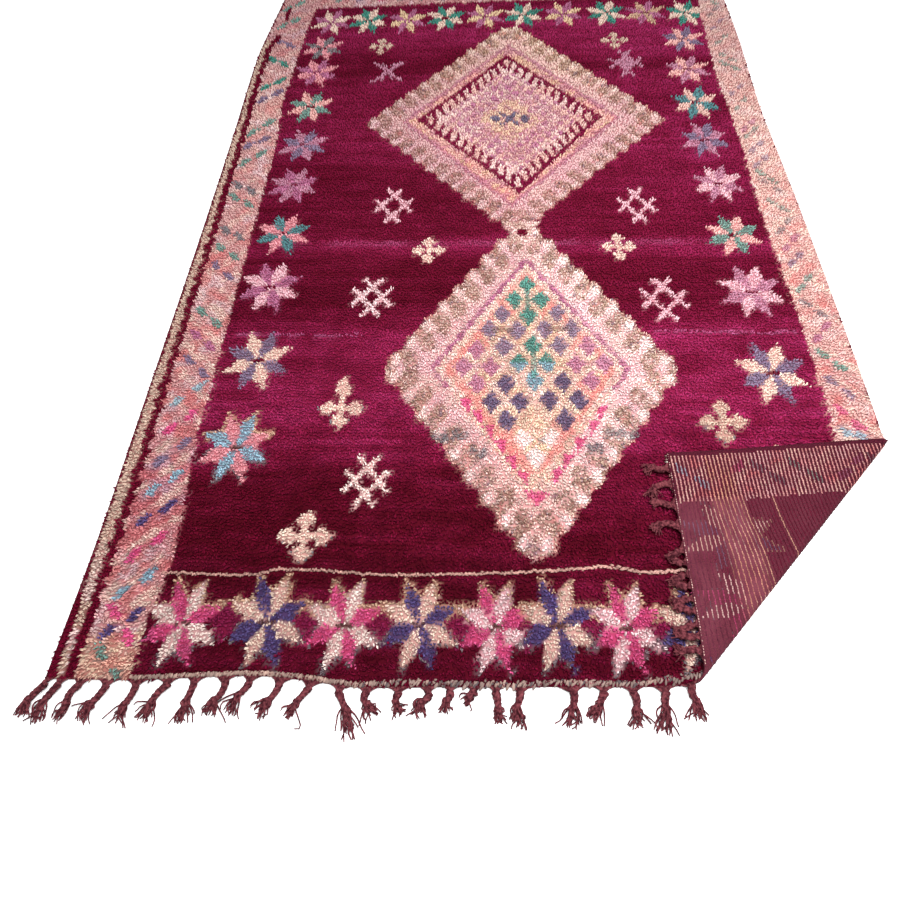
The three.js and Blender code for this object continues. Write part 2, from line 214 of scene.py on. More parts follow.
# Maroon weft beaten over the warps, with dull flecks of its plies, and rubbed to a dusty rose
# where the turned corner shows the field.
woven, tree, shader = wool_finish("woven wool back", specular=0.1)
weft_fleck = 2.381  # mm
spot = node(tree, "ShaderNodeTexCoord")
fleck = node(
    tree, "ShaderNodeTexNoise", sockets={"Scale": 1 / (weft_fleck * MM), "Detail": 1.0},
    links={"Vector": spot.outputs["Object"]},
)
weft = node(tree, "ShaderNodeValToRGB", links={"Fac": fleck.outputs["Fac"]})
weft.color_ramp.elements[0].position = 0.36
weft.color_ramp.elements[0].color = (*linear("1E0008"), 1)
weft.color_ramp.elements[1].position = 0.70
weft.color_ramp.elements[1].color = (*linear("4E1424"), 1)
rubbed = node(tree, "ShaderNodeAttribute", {"attribute_name": "rubbed"})
faded = node(
    tree, "ShaderNodeMix", {"data_type": "RGBA"}, links={"Factor": rubbed.outputs["Fac"]}
)
faded.inputs[7].default_value = (*linear("8C4E5A"), 1)
tree.links.new(faded.inputs[6], weft.outputs["Color"])
tree.links.new(shader.inputs["Base Color"], faded.outputs[2])
cloth.data.materials.append(woven)

thickness = cloth.modifiers.new("thickness", "SOLIDIFY")
thickness.thickness = bed_height * MM
thickness.offset = -1
thickness.material_offset = 1
thickness.material_offset_rim = 1
bpy.ops.object.modifier_apply(modifier="thickness")
bpy.ops.object.shade_smooth()
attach(cloth, "root")
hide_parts("pile_cloth")

# The knots' wool: handspun yarn in the dyes of the village, tied by eye row after row from the
# near end. The design is charted motif by motif: uneven magenta ground, stars, crosses and
# snowflakes, two scalloped diamonds, and a peach border with slanting dashes.
yarn = {
    name: linear(value)
    for name, value in {
        "dark maroon": "56061D",
        "magenta": "A22D60",
        "maroon": "6A0A28",
        "lilac": "B05884",
        "salmon": "F2B4AA",
        "peach": "EAC2B6",
        "cream": "ECD0C0",
        "ivory": "D6BAA8",
        "tan": "D0AC92",
        "milk": "FCEEE6",
        "white pink": "F4DCD4",
        "light pink": "F2D2D4",
        "lilac pink": "E6B8C1",
        "hot pink": "D85A8C",
        "rose": "E49CA4",
        "blush": "EDB6B0",
        "coral": "EEA298",
        "orchid": "C0879E",
        "mauve": "B46E90",
        "lavender": "978598",
        "purple": "887690",
        "faded navy": "71637D",
        "navy": "5C4E80",
        "steel": "94B4C4",
        "pale blue": "A4BCC6",
        "slate": "827C80",
        "green": "4A9082",
        "jade": "5F978A",
        "sea green": "7A9C92",
        "teal": "5C8C90",
        "taupe": "B89C88",
        "grey brown": "8A7060",
        "straw": "E6C8A4",
        # painted shade, for gaps where the pile parts
        "shade": "6E4A48",
    }.items()
}


def tie(wool, where, dye, share=1.0):
    """Ties a dye where a motif falls. With a share below one it blends with what is there."""
    share = np.broadcast_to(share, where.shape)[where][:, None]
    wool[where] = wool[where] * (1 - share) + yarn[dye] * share


# The ground: y, then its strength on the left and on the right, from the dark bath to the bright.
abrash = [
    (-60, 0.26, 0.32), (220, 0.15, 0.28), (300, 0.06, 0.34), (370, 0.18, 0.44), (440, 0.25, 0.52),
    (490, 0.6, 0.7), (620, 0.76, 0.82), (700, 0.72, 0.88), (780, 0.6, 0.7), (860, 0.74, 0.85),
    (900, 0.6, 0.7), (980, 0.2, 0.42), (1060, 0.25, 0.35), (1150, 0.28, 0.42),
    (1180, 0.55, 0.8), (1225, 0.72, 0.75), (1260, 0.38, 0.5), (1400, 0.3, 0.5),
    (1470, 0.38, 0.72), (1560, 0.3, 0.6), (1620, 0.6, 0.75), (1680, 0.62, 0.72),
    (1800, 0.66, 0.7), (1860, 0.6, 0.6), (1930, 0.55, 0.55), (2000, 0.58, 0.75),
    (2070, 0.5, 0.75), (2130, 0.25, 0.4), (2200, 0.35, 0.85), (2300, 0.75, 0.85),
    (2380, 0.65, 0.95), (2500, 0.5, 0.65), (2730, 0.5, 0.65),
]
# Rows of lilac wool: from x, to x, y and half width, then the size and seed of their patches,
# and their mean share and how far it strays.
lilac_rows = [
    (-800, -600, 872, 5, (14, 900), 10, 0.65, 0.35), (-570, -430, 868, 5, (14, 900), 10, 0.65, 0.35),
    (400, 790, 882, 5, (14, 900), 10, 0.65, 0.35), (-750, 750, 1222, 12, (60, 20), 12, 0.2, 0.25),
]


def ground(x, y):
    """The magenta ground's wool, in streaks of its two baths."""
    rows, left, right = np.array(abrash).T
    over = np.clip((x + 550) / 1100, 0, 1)
    row = y + 14 * drift(x, y, 190, 4000, 3) + 8 * drift(x, y, 60, 4000, 4)
    strength = np.interp(row, rows, left) * (1 - over) + np.interp(row, rows, right) * over
    streaks = 0.26 * drift(x, y, 160, 16, 7) + 0.16 * drift(x, y, 45, 30, 8)
    strength += streaks * np.interp(y, [300, 900], [1.0, 0.6])
    strength = np.clip(strength, 0, 1.15)[:, None]
    wool = yarn["dark maroon"] ** (1 - strength) * yarn["magenta"] ** strength
    for x0, x1, y0, reach, step, seed, mean, spread in lilac_rows:
        thread = (x > x0) & (x < x1) & (abs(y - y0 - 3 * drift(x, y, 30, 900, 9)) < reach)
        tie(wool, thread, "lilac", patches(x, y, *step, seed, mean, spread))
    return wool


# Stars: middle, reach across and along, and the dyes of their eight petals by turns. The ones
# nearest to the near end also show a tan rim above and a slate one below.
stars = [
    (-763, 65, 93, 104, "hot pink", "white pink"), (-567, 76, 94, 110, "navy", "cream"),
    (-391, 70, 92, 108, "hot pink", "white pink"), (-220, 76, 90, 104, "navy", "cream"),
    (-51, 74, 88, 106, "hot pink", "light pink"), (88, 82, 88, 106, "navy", "cream"),
    (239, 80, 83, 106, "hot pink", "light pink"), (388, 86, 87, 102, "navy", "cream"),
    (531, 88, 80, 108, "hot pink", "white pink"), (684, 88, 90, 106, "purple", "cream"),
    (-714, 2455, 86, 95, "cream", "mauve"), (-560, 2460, 84, 96, "green", "cream"),
    (-401, 2452, 84, 94, "straw", "mauve"), (-242, 2464, 84, 96, "green", "cream"),
    (-84, 2468, 84, 94, "straw", "mauve"), (73, 2472, 84, 96, "green", "cream"),
    (234, 2471, 84, 94, "straw", "mauve"), (405, 2470, 84, 96, "green", "cream"),
    (561, 2462, 84, 94, "tan", "mauve"), (720, 2454, 84, 96, "cream", "green"),
    (-728, 510, 98, 108, "rose", "steel"), (-720, 783, 98, 108, "cream", "purple"),
    (-729, 1050, 98, 106, "mauve", "lilac pink"), (-725, 1270, 94, 94, "teal", "rose"),
    (-726, 1490, 90, 90, "mauve", "orchid"), (-722, 1694, 90, 94, "orchid", "purple"),
    (-728, 1908, 90, 98, "blush", "sea green"), (-732, 2115, 88, 94, "rose", "mauve"),
    (-728, 2276, 86, 84, "rose", "slate"),
    (690, 430, 96, 104, "steel", "peach"), (692, 747, 98, 108, "purple", "cream"),
    (694, 1028, 96, 104, "orchid", "lilac pink"), (684, 1250, 88, 92, "sea green", "blush"),
    (676, 1476, 84, 92, "lilac pink", "orchid"), (670, 1692, 84, 94, "orchid", "purple"),
    (671, 1890, 86, 98, "peach", "teal"), (672, 2085, 86, 90, "blush", "orchid"),
    (684, 2275, 86, 90, "blush", "purple"),
]


def tie_star(x, y, wool, reach_x, reach_y, first, second, near_row):
    u = x / reach_x + 0.03 * drift(x, y, 12, 9, 15)
    v = y / reach_y + 0.03 * drift(x, y, 9, 12, 16)
    longer = np.maximum(abs(u), abs(v))
    shorter = np.minimum(abs(u), abs(v))
    edge = np.maximum(longer - shorter, shorter * 1.42)
    petal = np.floor(np.degrees(np.arctan2(v, u)) / 45).astype(int) % 2
    petal_width = 0.545 if near_row else 0.56
    inside = (edge < petal_width) & (longer < 0.93)
    if near_row:
        rim = ~inside & (edge < 0.65) & (longer < 0.99)
        tie(wool, rim & (v > 0.1) & (drift(x, y, 9, 9, 17) > -0.75), "tan", 0.85)
        rim = ~inside & (edge < 0.625) & (longer < 0.97)
        tie(wool, rim & (v < 0) & (drift(x, y, 9, 9, 18) > -0.1), "slate", 0.7)
    tie(wool, inside & (petal == 0), first)
    tie(wool, inside & (petal == 1), second)
    # painted shade along the gap between the upper and lower petals of the near row
    tie(wool, (abs(v) < 0.045) & (abs(u) < 0.2), "shade" if near_row else "maroon")


# Crosses: middle, half width, how much longer the far arm is, and dye. Each arm is a thin stem
# with a three-cornered head.
crosses = [
    (-494, 2279, 50, 1.0, "ivory"), (420, 2283, 52, 1.0, "ivory"), (-252, 1194, 50, 1.05, "cream"),
    (332, 1203, 50, 1.05, "cream"), (-462, 630, 58, 1.6, "cream"), (538, 597, 57, 1.1, "ivory"),
    (-510, 275, 62, 1.0, "cream"),
]


def tie_cross(x, y, wool, arm, far_arm, dye, near_row):
    u = abs(x) / arm + 0.06 * drift(x, y, 9, 9, 19)
    v = np.where(y > 0, y / far_arm, -y) / arm + 0.06 * drift(x, y, 9, 9, 29)
    out = np.maximum(u, v)
    aside = np.where(u > v, abs(y), abs(x)) / arm
    head = aside < np.interp(out, [0.38, 0.50, 0.64, 0.90, 1.08], [0, 0.36, 0.40, 0.22, 0])
    stem = (out < 0.7) & (aside < 0.15)
    tie(wool, head | stem, dye)
    if near_row:
        under = aside < np.interp(out, [0.36, 0.58, 0.80, 1.12], [0, 0.46, 0.46, 0])
        under = under & ~head & ~stem & (y < 0.1 * arm)
        tie(wool, under & (drift(x, y, 8, 8, 20) > 0.0), "slate")


# Snowflakes: middle, half width and height of the lozenge that their four strokes cross to, how
# many times that the strokes reach, and dye. The orchid one's lozenge is filled.
snowflakes = [
    (451, 2133, 37, 49, 2.25, "orchid"), (-378, 1391, 37, 48, 2.3, "lilac pink"),
    (407, 1382, 35, 46, 2.3, "lilac pink"), (-413, 1010, 31, 38, 2.8, "light pink"),
    (443, 1000, 37, 45, 2.5, "lilac pink"), (-373, 420, 31, 37, 2.7, "white pink"),
]


def tie_snowflake(x, y, wool, across, along, reach, dye):
    one = x / across + y / along + 0.07 * drift(x, y, 11, 11, 21)
    two = x / across - y / along + 0.07 * drift(x, y, 11, 11, 22)
    half_width = 8.6 / across
    strokes = (abs(abs(one) - 1) < half_width) & (abs(two) < reach)
    strokes |= (abs(abs(two) - 1) < half_width) & (abs(one) < reach)
    if dye == "orchid":
        strokes |= (abs(one) < 1) & (abs(two) < 1)
    tie(wool, strokes, dye)


# One slanting cross beside the upper diamond.
saltire_middle = (-452, 2112)


def tie_saltire(x, y, wool, reach, dye):
    arms = (abs(abs(x) - abs(y) * 0.9) < 10) & (abs(y) < reach)
    ticks = (abs(abs(y) - abs(x) - 24) < 7) & (abs(x) < 26) & (abs(x) > 6)
    tie(wool, arms | ticks, dye)


# The border: where the field ends on each side, how worn the border is along each side (on the
# left with painted shade near the near end), then its dashes: y in the outer column, y in the
# inner column, dye. Outside it on the left run a maroon stripe, an ivory one and a selvedge.
left_field = [
    (-60, -850), (76, -846), (189, -823), (384, -829), (512, -836), (707, -833), (996, -830),
    (1283, -829), (1662, -821), (1941, -835), (2112, -827), (2229, -821), (2560, -795),
]
right_field = [
    (-60, 768), (0, 769), (164, 773), (296, 782), (420, 793), (538, 803), (717, 807),
    (1017, 802), (1264, 789), (1504, 786), (1655, 787), (1901, 778), (2035, 770), (2361, 777),
    (2600, 780),
]
far_field = [(-850, 2556), (-795, 2560), (0, 2578), (800, 2586)]
# on the left: wear, and painted shade where it rises between about 100 and 550 mm
left_wear_and_shade = [
    (0, 1), (100, 1.1), (400, 1.9), (550, 1.4), (800, 1.1), (1700, 1.1), (1950, 0.7), (2300, 1.4),
]
right_wear = [(300, 0.8), (800, 0.6), (1400, 0.3), (1900, 0.4), (2200, 0.8)]
left_columns = (-912, -861)  # outer and inner
right_columns = (838, 872)
left_dashes = [
    (0, -51, "sea green"), (42, 81, "navy"), (87, 33, "hot pink"), (129, 173, "steel"),
    (222, 263, "hot pink"), (308, 343, "navy"), (385, 424, "steel"), (469, 518, "purple"),
    (560, 606, "hot pink"), (648, 697, "pale blue"), (784, 739, "purple"), (872, 830, "mauve"),
    (955, 914, "sea green"), (1138, 1094, "purple"), (1214, 1174, "sea green"),
    (1286, 1258, "slate"), (1438, 1406, "sea green"), (1498, 1468, "slate"),
    (1610, 1654, "sea green"), (1700, 1730, "purple"), (1770, 1822, "sea green"),
    (1956, 1996, "purple"), (2032, 2070, "green"), (2208, 2176, "green"),
    (2336, 2304, "purple"), (2440, 2480, "sea green"), (2566, 2606, "sea green"),
]
right_dashes = [
    (60, 20, "steel"), (110, 150, "hot pink"), (240, 200, "slate"), (330, 290, "sea green"),
    (400, 440, "mauve"), (500, 480, "slate"), (570, 556, "steel"), (636, 590, "hot pink"),
    (727, 685, "purple"), (811, 772, "green"), (860, 902, "mauve"), (986, 947, "slate"),
    (1038, 1080, "sea green"), (1133, 1168, "purple"), (1196, 1234, "mauve"),
    (1266, 1308, "slate"), (1392, 1356, "sea green"), (1484, 1444, "slate"),
    (1524, 1484, "green"), (1564, 1596, "purple"), (1636, 1668, "purple"),
    (1708, 1740, "sea green"), (1745, 1780, "mauve"), (1856, 1904, "sea green"),
    (1940, 1976, "purple"), (2116, 2084, "green"), (2176, 2140, "sea green"),
    (2250, 2292, "sea green"), (2348, 2392, "purple"), (2436, 2480, "slate"),
    (2560, 2520, "green"),
]
far_pitch = 90  # of the dashes along the far end


def tie_dash(x, y, wool, tilt, dye, share, size):
    slide = x - tilt * 0.6 * y + 2.5 * drift(x, y, 8, 8, 28)
    tie(wool, (abs(slide) < 12 * size) & (abs(y) < 19 * size - 0.4 * abs(slide)), dye, share)


def tie_border(x, y, wool):
    left = x < smoothly(left_field, y) + 4 * drift(x, y, 900, 14, 23)
    right = x > smoothly(right_field, y) + 4 * drift(x, y, 900, 14, 24)
    band = left | right | (y > smoothly(far_field, x) + 4 * drift(x, y, 14, 900, 25))
    tie(wool, band, "peach")
    redder = np.interp(y, [300, 900, 1500], [0.55, 0.25, 0.05]) - 0.3 * (x > 0)
    uneven = np.interp(y, [900, 1500], [1.4, 0.7])
    tie(wool, band, "coral", patches(x, y, 24, 28, 26, redder, uneven, 0.9))
    tie(wool, band, "milk", patches(x, y, 26, 24, 34, -0.3, 1.5, 0.7 - 0.35 * (x > 0)))
    lean = np.where(np.sin(y / 170.0) > 0, 1.0, -1.0)
    ribbon = np.sin(2 * np.pi * (y - lean * 0.9 * (x + 891)) / 88 + 1.3)
    creamy = patches(x, y, 22, 22, 27, ribbon - 0.3, 1.1, 0.9)
    creamy = creamy * np.interp(y, [1000, 1600], [1.0, 0.6])
    tie(wool, band, "cream", creamy)
    tie(wool, band & (y < 35 + 20 * drift(x, y, 30, 30, 35)) & (x < 0), "straw", 0.55)
    # soiled and faded to rose on the left and towards the far end, and on the left near the near end
    # darkened further with painted shade
    wear_and_shade = np.where(x < 0, *(np.interp(y, *np.array(wear).T) for wear in (left_wear_and_shade, right_wear)))
    wear_and_shade = wear_and_shade * (1 - 0.7 * creamy)
    wool[band] *= (1 - wear_and_shade[:, None] * [0.20, 0.30, 0.23])[band]
    share = np.where(x < 0, 1.0, np.interp(y, [1000, 1400], [0.8, 0.62]))
    for dashes, columns in ((left_dashes, left_columns), (right_dashes, right_columns)):
        for outer, inner, dye in dashes:
            tilt = 1 if inner > outer else -1
            for column, dash_y in zip(columns, (outer, inner)):
                if column > 0:
                    column += (smoothly(right_edge, dash_y) - 924) * 0.9
                else:
                    column -= np.interp(dash_y, [-60, 60, 200], [24, 18, 7])
                size = np.interp(dash_y, [1200, 1900], [0.9, 0.8] if column > 0 else [1.0, 1.2])
                tie_near(x, y, wool, (column, dash_y), (40, 30), tie_dash, tilt, dye, share, size)
    for k, dash_x in enumerate(range(-700, 760, far_pitch)):
        dye = ("sea green", "purple", "hot pink", "slate")[k % 4]
        for step in (0, 1):
            place = (dash_x + 36 * step, 2622 + 34 * step)
            tie_near(x, y, wool, place, (40, 30), tie_dash, 1, dye, share * 0.8, 1.2)
    # stripes outside the left border
    out = x - smoothly(left_edge, y)
    selvedge = np.interp(y, [-60, 60, 220, 2350, 2600], [29, 20, 10, 8, 12])
    selvedge += 1.5 * drift(x, y, 900, 16, 33)
    wave = 3.5 * drift(x, y, 900, 13, 29) + 3.0 * np.sin(y / 7.0)
    wave += np.interp(y, [0, 300, 1000, 2000, 2290, 2380], [41, 38, 31, 26, 26, 48])
    stripe_end = wave + np.interp(y, [300, 1500], [23, 22])
    ivory = (out > selvedge) & (out < wave) & (y < 2300 + 60 * drift(x, y, 30, 500, 30))
    tie(wool, ivory, "ivory")
    pinker = np.clip((300 - y) / 400, 0, 0.6) * (drift(x, y, 20, 30, 31) > 0)
    tie(wool, ivory, "light pink", pinker)
    # painted shade in the grooves between the ivory stripe's twisted turns
    twist = np.clip(np.sin((y + 0.8 * out) / 2.6) - 0.35, 0, 1)
    tie(wool, ivory, "shade", twist * 0.55)
    tie(wool, (out >= wave) & (out < stripe_end) & (y < 2375), "maroon")
    tie(wool, (abs(x + 908) < 9) & (y > 2480) & (y < 2575), "maroon")
    tie(wool, out <= selvedge, "maroon")
    rim = x > smoothly(right_edge, y) - 6
    tie(wool, rim & ((drift(x, y, 900, 22, 32) > 0.35) | (y < 545)), "maroon")
    tie(wool, y > 2712, "maroon")


def tie_near(x, y, wool, place, reach, motif, *details):
    """Ties one motif, worked out only for the knots round its place."""
    near = np.flatnonzero((abs(x - place[0]) < reach[0]) & (abs(y - place[1]) < reach[1]))
    if len(near):
        part = wool[near]
        details = [d[near] if isinstance(d, np.ndarray) else d for d in details]
        motif(x[near] - place[0], y[near] - place[1], part, *details)
        wool[near] = part


def tie_scallops(x, y, wool, first, column, rows, ring, grey, contrast):
    """A diamond's stepped edge: pale shells with a taupe rim, and taupe lozenges between them.

    first is the place of its innermost cell, above and below; column and rows are the cells'
    pitches, mm, and ring the number of the outermost cell.
    """
    i = (abs(x) - first[0]) / column
    j = (abs(y) - np.where(y > 0, first[1], first[2])) / np.where(y > 0, rows[0], rows[1])
    over = i + j - ring
    wander = 0.1 * drift(x, y, 9, 9, 40)
    along = i - over / 2
    rim = 0.48 + 0.2 * contrast * np.cos(2 * np.pi * along) + wander
    corner_x = first[0] + column * (ring + 0.75)
    corner_y = rows[0] * (ring + 0.6)
    inside = (over < rim) & (abs(x) < corner_x) & (abs(y) < corner_y)
    tie(wool, inside, "white pink")
    tie(wool, inside, "light pink", patches(x, y, 50, 50, 41, 0.45, 0.9))
    tie(wool, inside, "cream", 0.7 * grey)
    f = along - np.round(along)
    g = along + 0.5 - np.round(along + 0.5)
    shell = over**2 + 4 * f**2 < 0.19 + 0.6 * wander
    edging = inside & (over > -0.35) & ~shell
    lozenge = inside & ~shell & ((over + 1) ** 2 + 4 * g**2 < 0.58 + wander)
    knot = drift(x, y, 5, 7, 42)
    brown = edging | lozenge
    tie(wool, inside & shell, "milk", 0.9 * contrast)
    tie(wool, brown, "taupe", np.clip(0.7 + 0.6 * knot, 0, 1) * contrast)
    tie(wool, brown & (drift(x, y, 5, 8, 44) > 0.4 - 0.5 * grey), "grey brown", 0.7 * contrast)
    tie(wool, brown & (knot < -0.5), "white pink", 0.5)
    tie(wool, brown & (drift(x, y, 7, 9, 45) > 0.72), "faded navy", 0.6)
    tie(wool, brown & (drift(x, y, 7, 9, 46) > 0.70), "salmon", 0.7)
    tie(wool, inside & (over > rim - 0.12) & (knot > -0.3), "salmon", 0.5)
    return over, inside


# The upper diamond: a maroon comb round checks that fade to straw at its middle.
upper_middle = (20, 1795)


def tie_upper_diamond(x, y, wool):
    over, whole = tie_scallops(x, y, wool, (22, 20, 2), 43.5, (51, 45), 11, 0, 0.9)
    fade = np.outer(np.clip(x / 200, -1, 0.2), [0.09, 0.12, 0.09])
    fade += np.outer(np.clip(y / 450, 0, 1), [0.08, 0.15, 0.03])
    wool[whole] *= ([0.86, 0.78, 0.79] + fade)[whole]
    inside = over < -1.2
    wing = abs(x + 10) / 380 + abs(y - 20) / np.where(y > 20, 448, 430)
    x = x + 14 - (26 - y) * np.where(y < 26, 0.075, 0.01)
    y = y - 26
    tie(wool, inside & (wing < 1.0), "peach")
    tie(wool, inside & (wing < 1.0), "salmon", patches(x, y, 40, 40, 46, 0.1, 0.8, 0.7))
    tie(wool, abs(wing - 0.99) < 0.028 + 0.012 * drift(x, y, 20, 20, 48), "mauve", 0.65)
    tie(wool, (wing < 0.96) & (drift(x, y, 20, 16, 47) > 0.3), "mauve", 0.5)
    tie(wool, (wing < 0.96) & (drift(x, y, 26, 20, 49) > 0.3), "straw", 0.7)
    ring = abs(x) / 322.5 + abs(y) / 374
    line = abs(ring - 0.985) < 0.031 + 0.008 * drift(x, y, 9, 9, 50)
    comb = ring < 0.95
    tie(wool, comb, "white pink")
    tie(wool, comb, "peach", patches(x, y, 40, 40, 51, 0.4, 1.0, 0.8))
    tie(wool, comb & (ring < 0.7), "taupe", 0.12)
    # the comb's teeth stand on its line, a little aslant
    step = (abs(x) - 0.32 * abs(y)) / 34.8 + 0.06 * drift(x, y, 14, 14, 59)
    step = step - np.floor(step) - 0.5
    tooth = comb & (ring > 0.79) & (abs(step) < 0.20)
    wool[whole] *= [0.93, 0.85, 0.86]
    tie(wool, line | tooth, "maroon")
    tie(wool, line | tooth, "magenta", 0.25)
    # staggered flecks
    rise = (x + y * 0.862) / 50
    fall = (x - y * 0.862) / 50
    fleck = (rise - np.round(rise)) ** 2 + (fall - np.round(fall)) ** 2
    between = (rise % 1 - 0.5) ** 2 + (fall % 1 - 0.5) ** 2
    uneven = 0.04 * drift(x, y, 10, 10, 52)
    checks = (ring < 0.77) & ~tooth
    strong = patches(x, y, 20, 20, 55, 0.72, 0.3)
    tie(wool, checks & (fleck < 0.14 + uneven), "mauve", strong)
    tie(wool, checks & (ring < 0.62) & (between < 0.08 + uneven), "mauve", 0.4)
    middle = ring < 0.34 + 0.1 * drift(x, y, 20, 20, 56)
    tie(wool, middle, "straw", 0.65)
    tie(wool, middle & (drift(x, y, 14, 14, 57) > 0.35), "mauve", 0.5)
    cross = (abs(abs(x) - abs(y) * 0.85) < 9) & (abs(y) < 34)
    spots = abs(abs(x - 3) - 52) / 20 + abs(y) / 24 < 1
    tie(wool, cross | spots, "slate")
    tie(wool, cross | spots, "navy", 0.45)


# The neck between the diamonds, with a maroon knot in it.
neck_middle = (38, 1266)


def tie_neck(x, y, wool):
    width = 31 + np.clip(abs(y) - 12, 0, 60) * 0.9 + 5 * drift(x, y, 9, 9, 58)
    neck = (abs(x) < width) & (abs(y) < 48)
    tie(wool, neck, "white pink")
    tie(wool, neck & (drift(x, y, 12, 12, 67) > 0.1), "taupe", 0.6)
    wool[neck] *= [0.93, 0.87, 0.87]
    tie(wool, (x / 16) ** 2 + (y / 17) ** 2 < 1, "maroon")


# The lower diamond: groups of four lozenges in green, purple and mauve wool on cream, in a
# salmon line, a mauve line above and hot pink steps below.
lower_middle = (46, 757)
lozenge_groups = [
    (2, 241, "jade"), (-70, 133, "lavender"), (85, 137, "lavender"), (-144, 8, "orchid"),
    (12, 21, "jade"), (165, 19, "orchid"), (-66, -105, "faded navy"), (89, -99, "faded navy"),
]
lozenge_places = ((0, 57), (-38, 0), (38, 0), (0, -57))
pink_steps = [
    (-185, -115), (-151, -150), (-121, -194), (-94, -236), (-64, -281), (-35, -325),
    (182, -136), (155, -179), (118, -226), (82, -275), (55, -316),
]
slate_patches = [(-233, -212), (-186, -204), (-137, -254), (209, -196), (253, -196), (158, -240)]


def tie_lower_diamond(x, y, wool):
    grey = np.clip(-(y + 130) / 260, 0, 1)
    _, whole = tie_scallops(x, y, wool, (28, 27, 27), 43, (61, 58), 8, grey, 0.95)
    fade = np.outer(np.clip(abs(x) / 200, 0, 1), [0.07, 0.09, 0.09])
    fade += np.outer(np.clip(x / 150, -1, 1), [0.07, 0.10, 0.10])
    fade += np.outer(grey, [0.09, 0.09, 0.12])
    wool[whole] *= ([0.86, 0.80, 0.80] + fade)[whole]
    for sx, sy in slate_patches:
        patch = (abs(x - sx) < 23) & (abs(y - sy) < 14 + 6 * drift(x, y, 9, 9, 60))
        tie(wool, patch, "slate", patches(x, y, 5, 8, 64, 0.7, 0.6))
    wing = abs(x) / 268 + abs(y) / 395
    net = abs(x) / 228 + abs(y) / 343
    tie(wool, wing < 0.98, "milk")
    tie(wool, wing < 0.98, "cream", patches(x, y, 8, 10, 61, 0.5, 0.6, 0.9))
    tie(wool, (wing < 0.98) & (y < -120), "straw", 0.3)
    wool[wing < 0.98] *= [0.92, 0.87, 0.84]
    tie(wool, (net < 1) & (y > -250), "straw", patches(x, y, 24, 24, 62, 0.3, 0.6, 0.7))
    tie(wool, (net < 1) & (drift(x, y, 5, 7, 65) > 0.45) & (y > -200), "taupe", 0.6)
    lump = 0.5 + 0.5 * np.cos(2 * np.pi * (abs(x) - abs(y) * 0.68) / 60)
    line = (abs(wing - 1.0) < 0.022 + 0.018 * lump) & (y > -60)
    tie(wool, line, "mauve", patches(x, y, 16, 16, 68, 0.7 + 0.25 * lump, 0.4))
    tie(wool, (wing < 0.95) & (net > 1.03) & (lump < 0.3) & (y < 60), "mauve", 0.25)
    # a salmon line, hooked round the outer lozenges
    line = (abs(net - 1.0 + 0.04 * lump) < 0.045) & (y > -290)
    tie(wool, line, "coral", np.maximum(patches(x, y, 12, 12, 69, 0.8, 0.5, 0.95), 0.3))
    for gx, gy, dye in lozenge_groups:
        if dye != "jade" or gy > 200:
            hook = abs(x - gx) / 78 + abs(y - gy) / 112
            tie(wool, (abs(hook - 1.0) < 0.09) & (net > 0.7) & (net < 1.0), "coral", 0.6)
        for dx, dy in lozenge_places:
            spot = abs(x - gx - dx) / 27 + abs(y - gy - dy) / 36 < 1 + 0.1 * drift(x, y, 8, 8, 63)
            tie(wool, spot, dye)
            if dye == "jade" and gy < 100 and dy <= 0:
                tie(wool, spot & (y < gy + dy + (2 if dy == 0 else 40)), "steel", 0.75)
        upright = (abs(x - gx) < 8) & (abs(y - gy) < 50)
        level = (abs(x - gx) < 32) & (abs(y - gy) < 10)
        if dye == "jade":
            tie(wool, upright, dye, 0.7)
        elif dye == "lavender":
            tie(wool, level, "grey brown", 0.6)
        elif dye == "orchid":
            tie(wool, level, dye, 0.5)
    for sx, sy in ((-25, -217), (52, -216), (9, -266)):
        tie(wool, abs(x - sx) / 29 + abs(y - sy) / 34 < 1, "milk")
        tie(wool, (abs(x - sx + 30) < 9) & (abs(y - sy + 6) < 9), "slate", 0.6)
    below = (y < -190) & (net < 1)
    zigzag = abs(abs(abs(x - 10) - 76) - (-190 - y) * 0.5) < 13
    tie(wool, below & zigzag & (y > -310), "coral", 0.7)
    for sx, sy in pink_steps:
        sx = sx + 8
        tall = 24 + np.where(sx < 0, x - sx, sx - x) * 1.6
        step = (abs(x - sx) < 14) & (y < sy + 19) & (y > sy + 19 - tall)
        tie(wool, step, "hot pink", 0.95)
    foot = (abs(x - 8) < 30 - (-366 - y) * 0.9) & (y < -358) & (y > -396)
    tie(wool, foot, "hot pink", 0.95)


# Between the stars of the near row: the ground shows brighter, under a short tan line.
near_gaps = [-663, -477, -303, -134, 20, 164, 314]


def tie_gap(x, y, wool):
    tie(wool, abs(x) / 40 + abs(y) / 46 < 1 + 0.2 * drift(x, y, 12, 12, 66), "magenta", 0.55)
    tie(wool, (abs(y - 45) < 4.5) & (abs(x) < 30), "tan", 0.85)


def tied_wool(x, y):
    """The dye of the wool tied at each place of the chart."""
    wool = ground(x, y)
    for gap in near_gaps:
        tie_near(x, y, wool, (gap, 72), (60, 60), tie_gap)
    for star_x, star_y, reach_x, reach_y, *dyes in stars:
        reach = (1.1 * reach_x, 1.1 * reach_y)
        tie_near(x, y, wool, (star_x, star_y), reach, tie_star, reach_x, reach_y, *dyes, star_y < 600)
    for cross_x, cross_y, *form in crosses:
        tie_near(x, y, wool, (cross_x, cross_y), (90, 120), tie_cross, *form, cross_y < 700)
    for flake_x, flake_y, *form in snowflakes:
        tie_near(x, y, wool, (flake_x, flake_y), (110, 130), tie_snowflake, *form)
    tie_near(x, y, wool, saltire_middle, (90, 90), tie_saltire, 62, "orchid")
    tie_near(x, y, wool, upper_middle, (560, 640), tie_upper_diamond)
    tie_near(x, y, wool, lower_middle, (450, 560), tie_lower_diamond)
    tie_near(x, y, wool, neck_middle, (90, 50), tie_neck)
    wool[y < 225] *= 0.87
    tie_border(x, y, wool)
    return wool


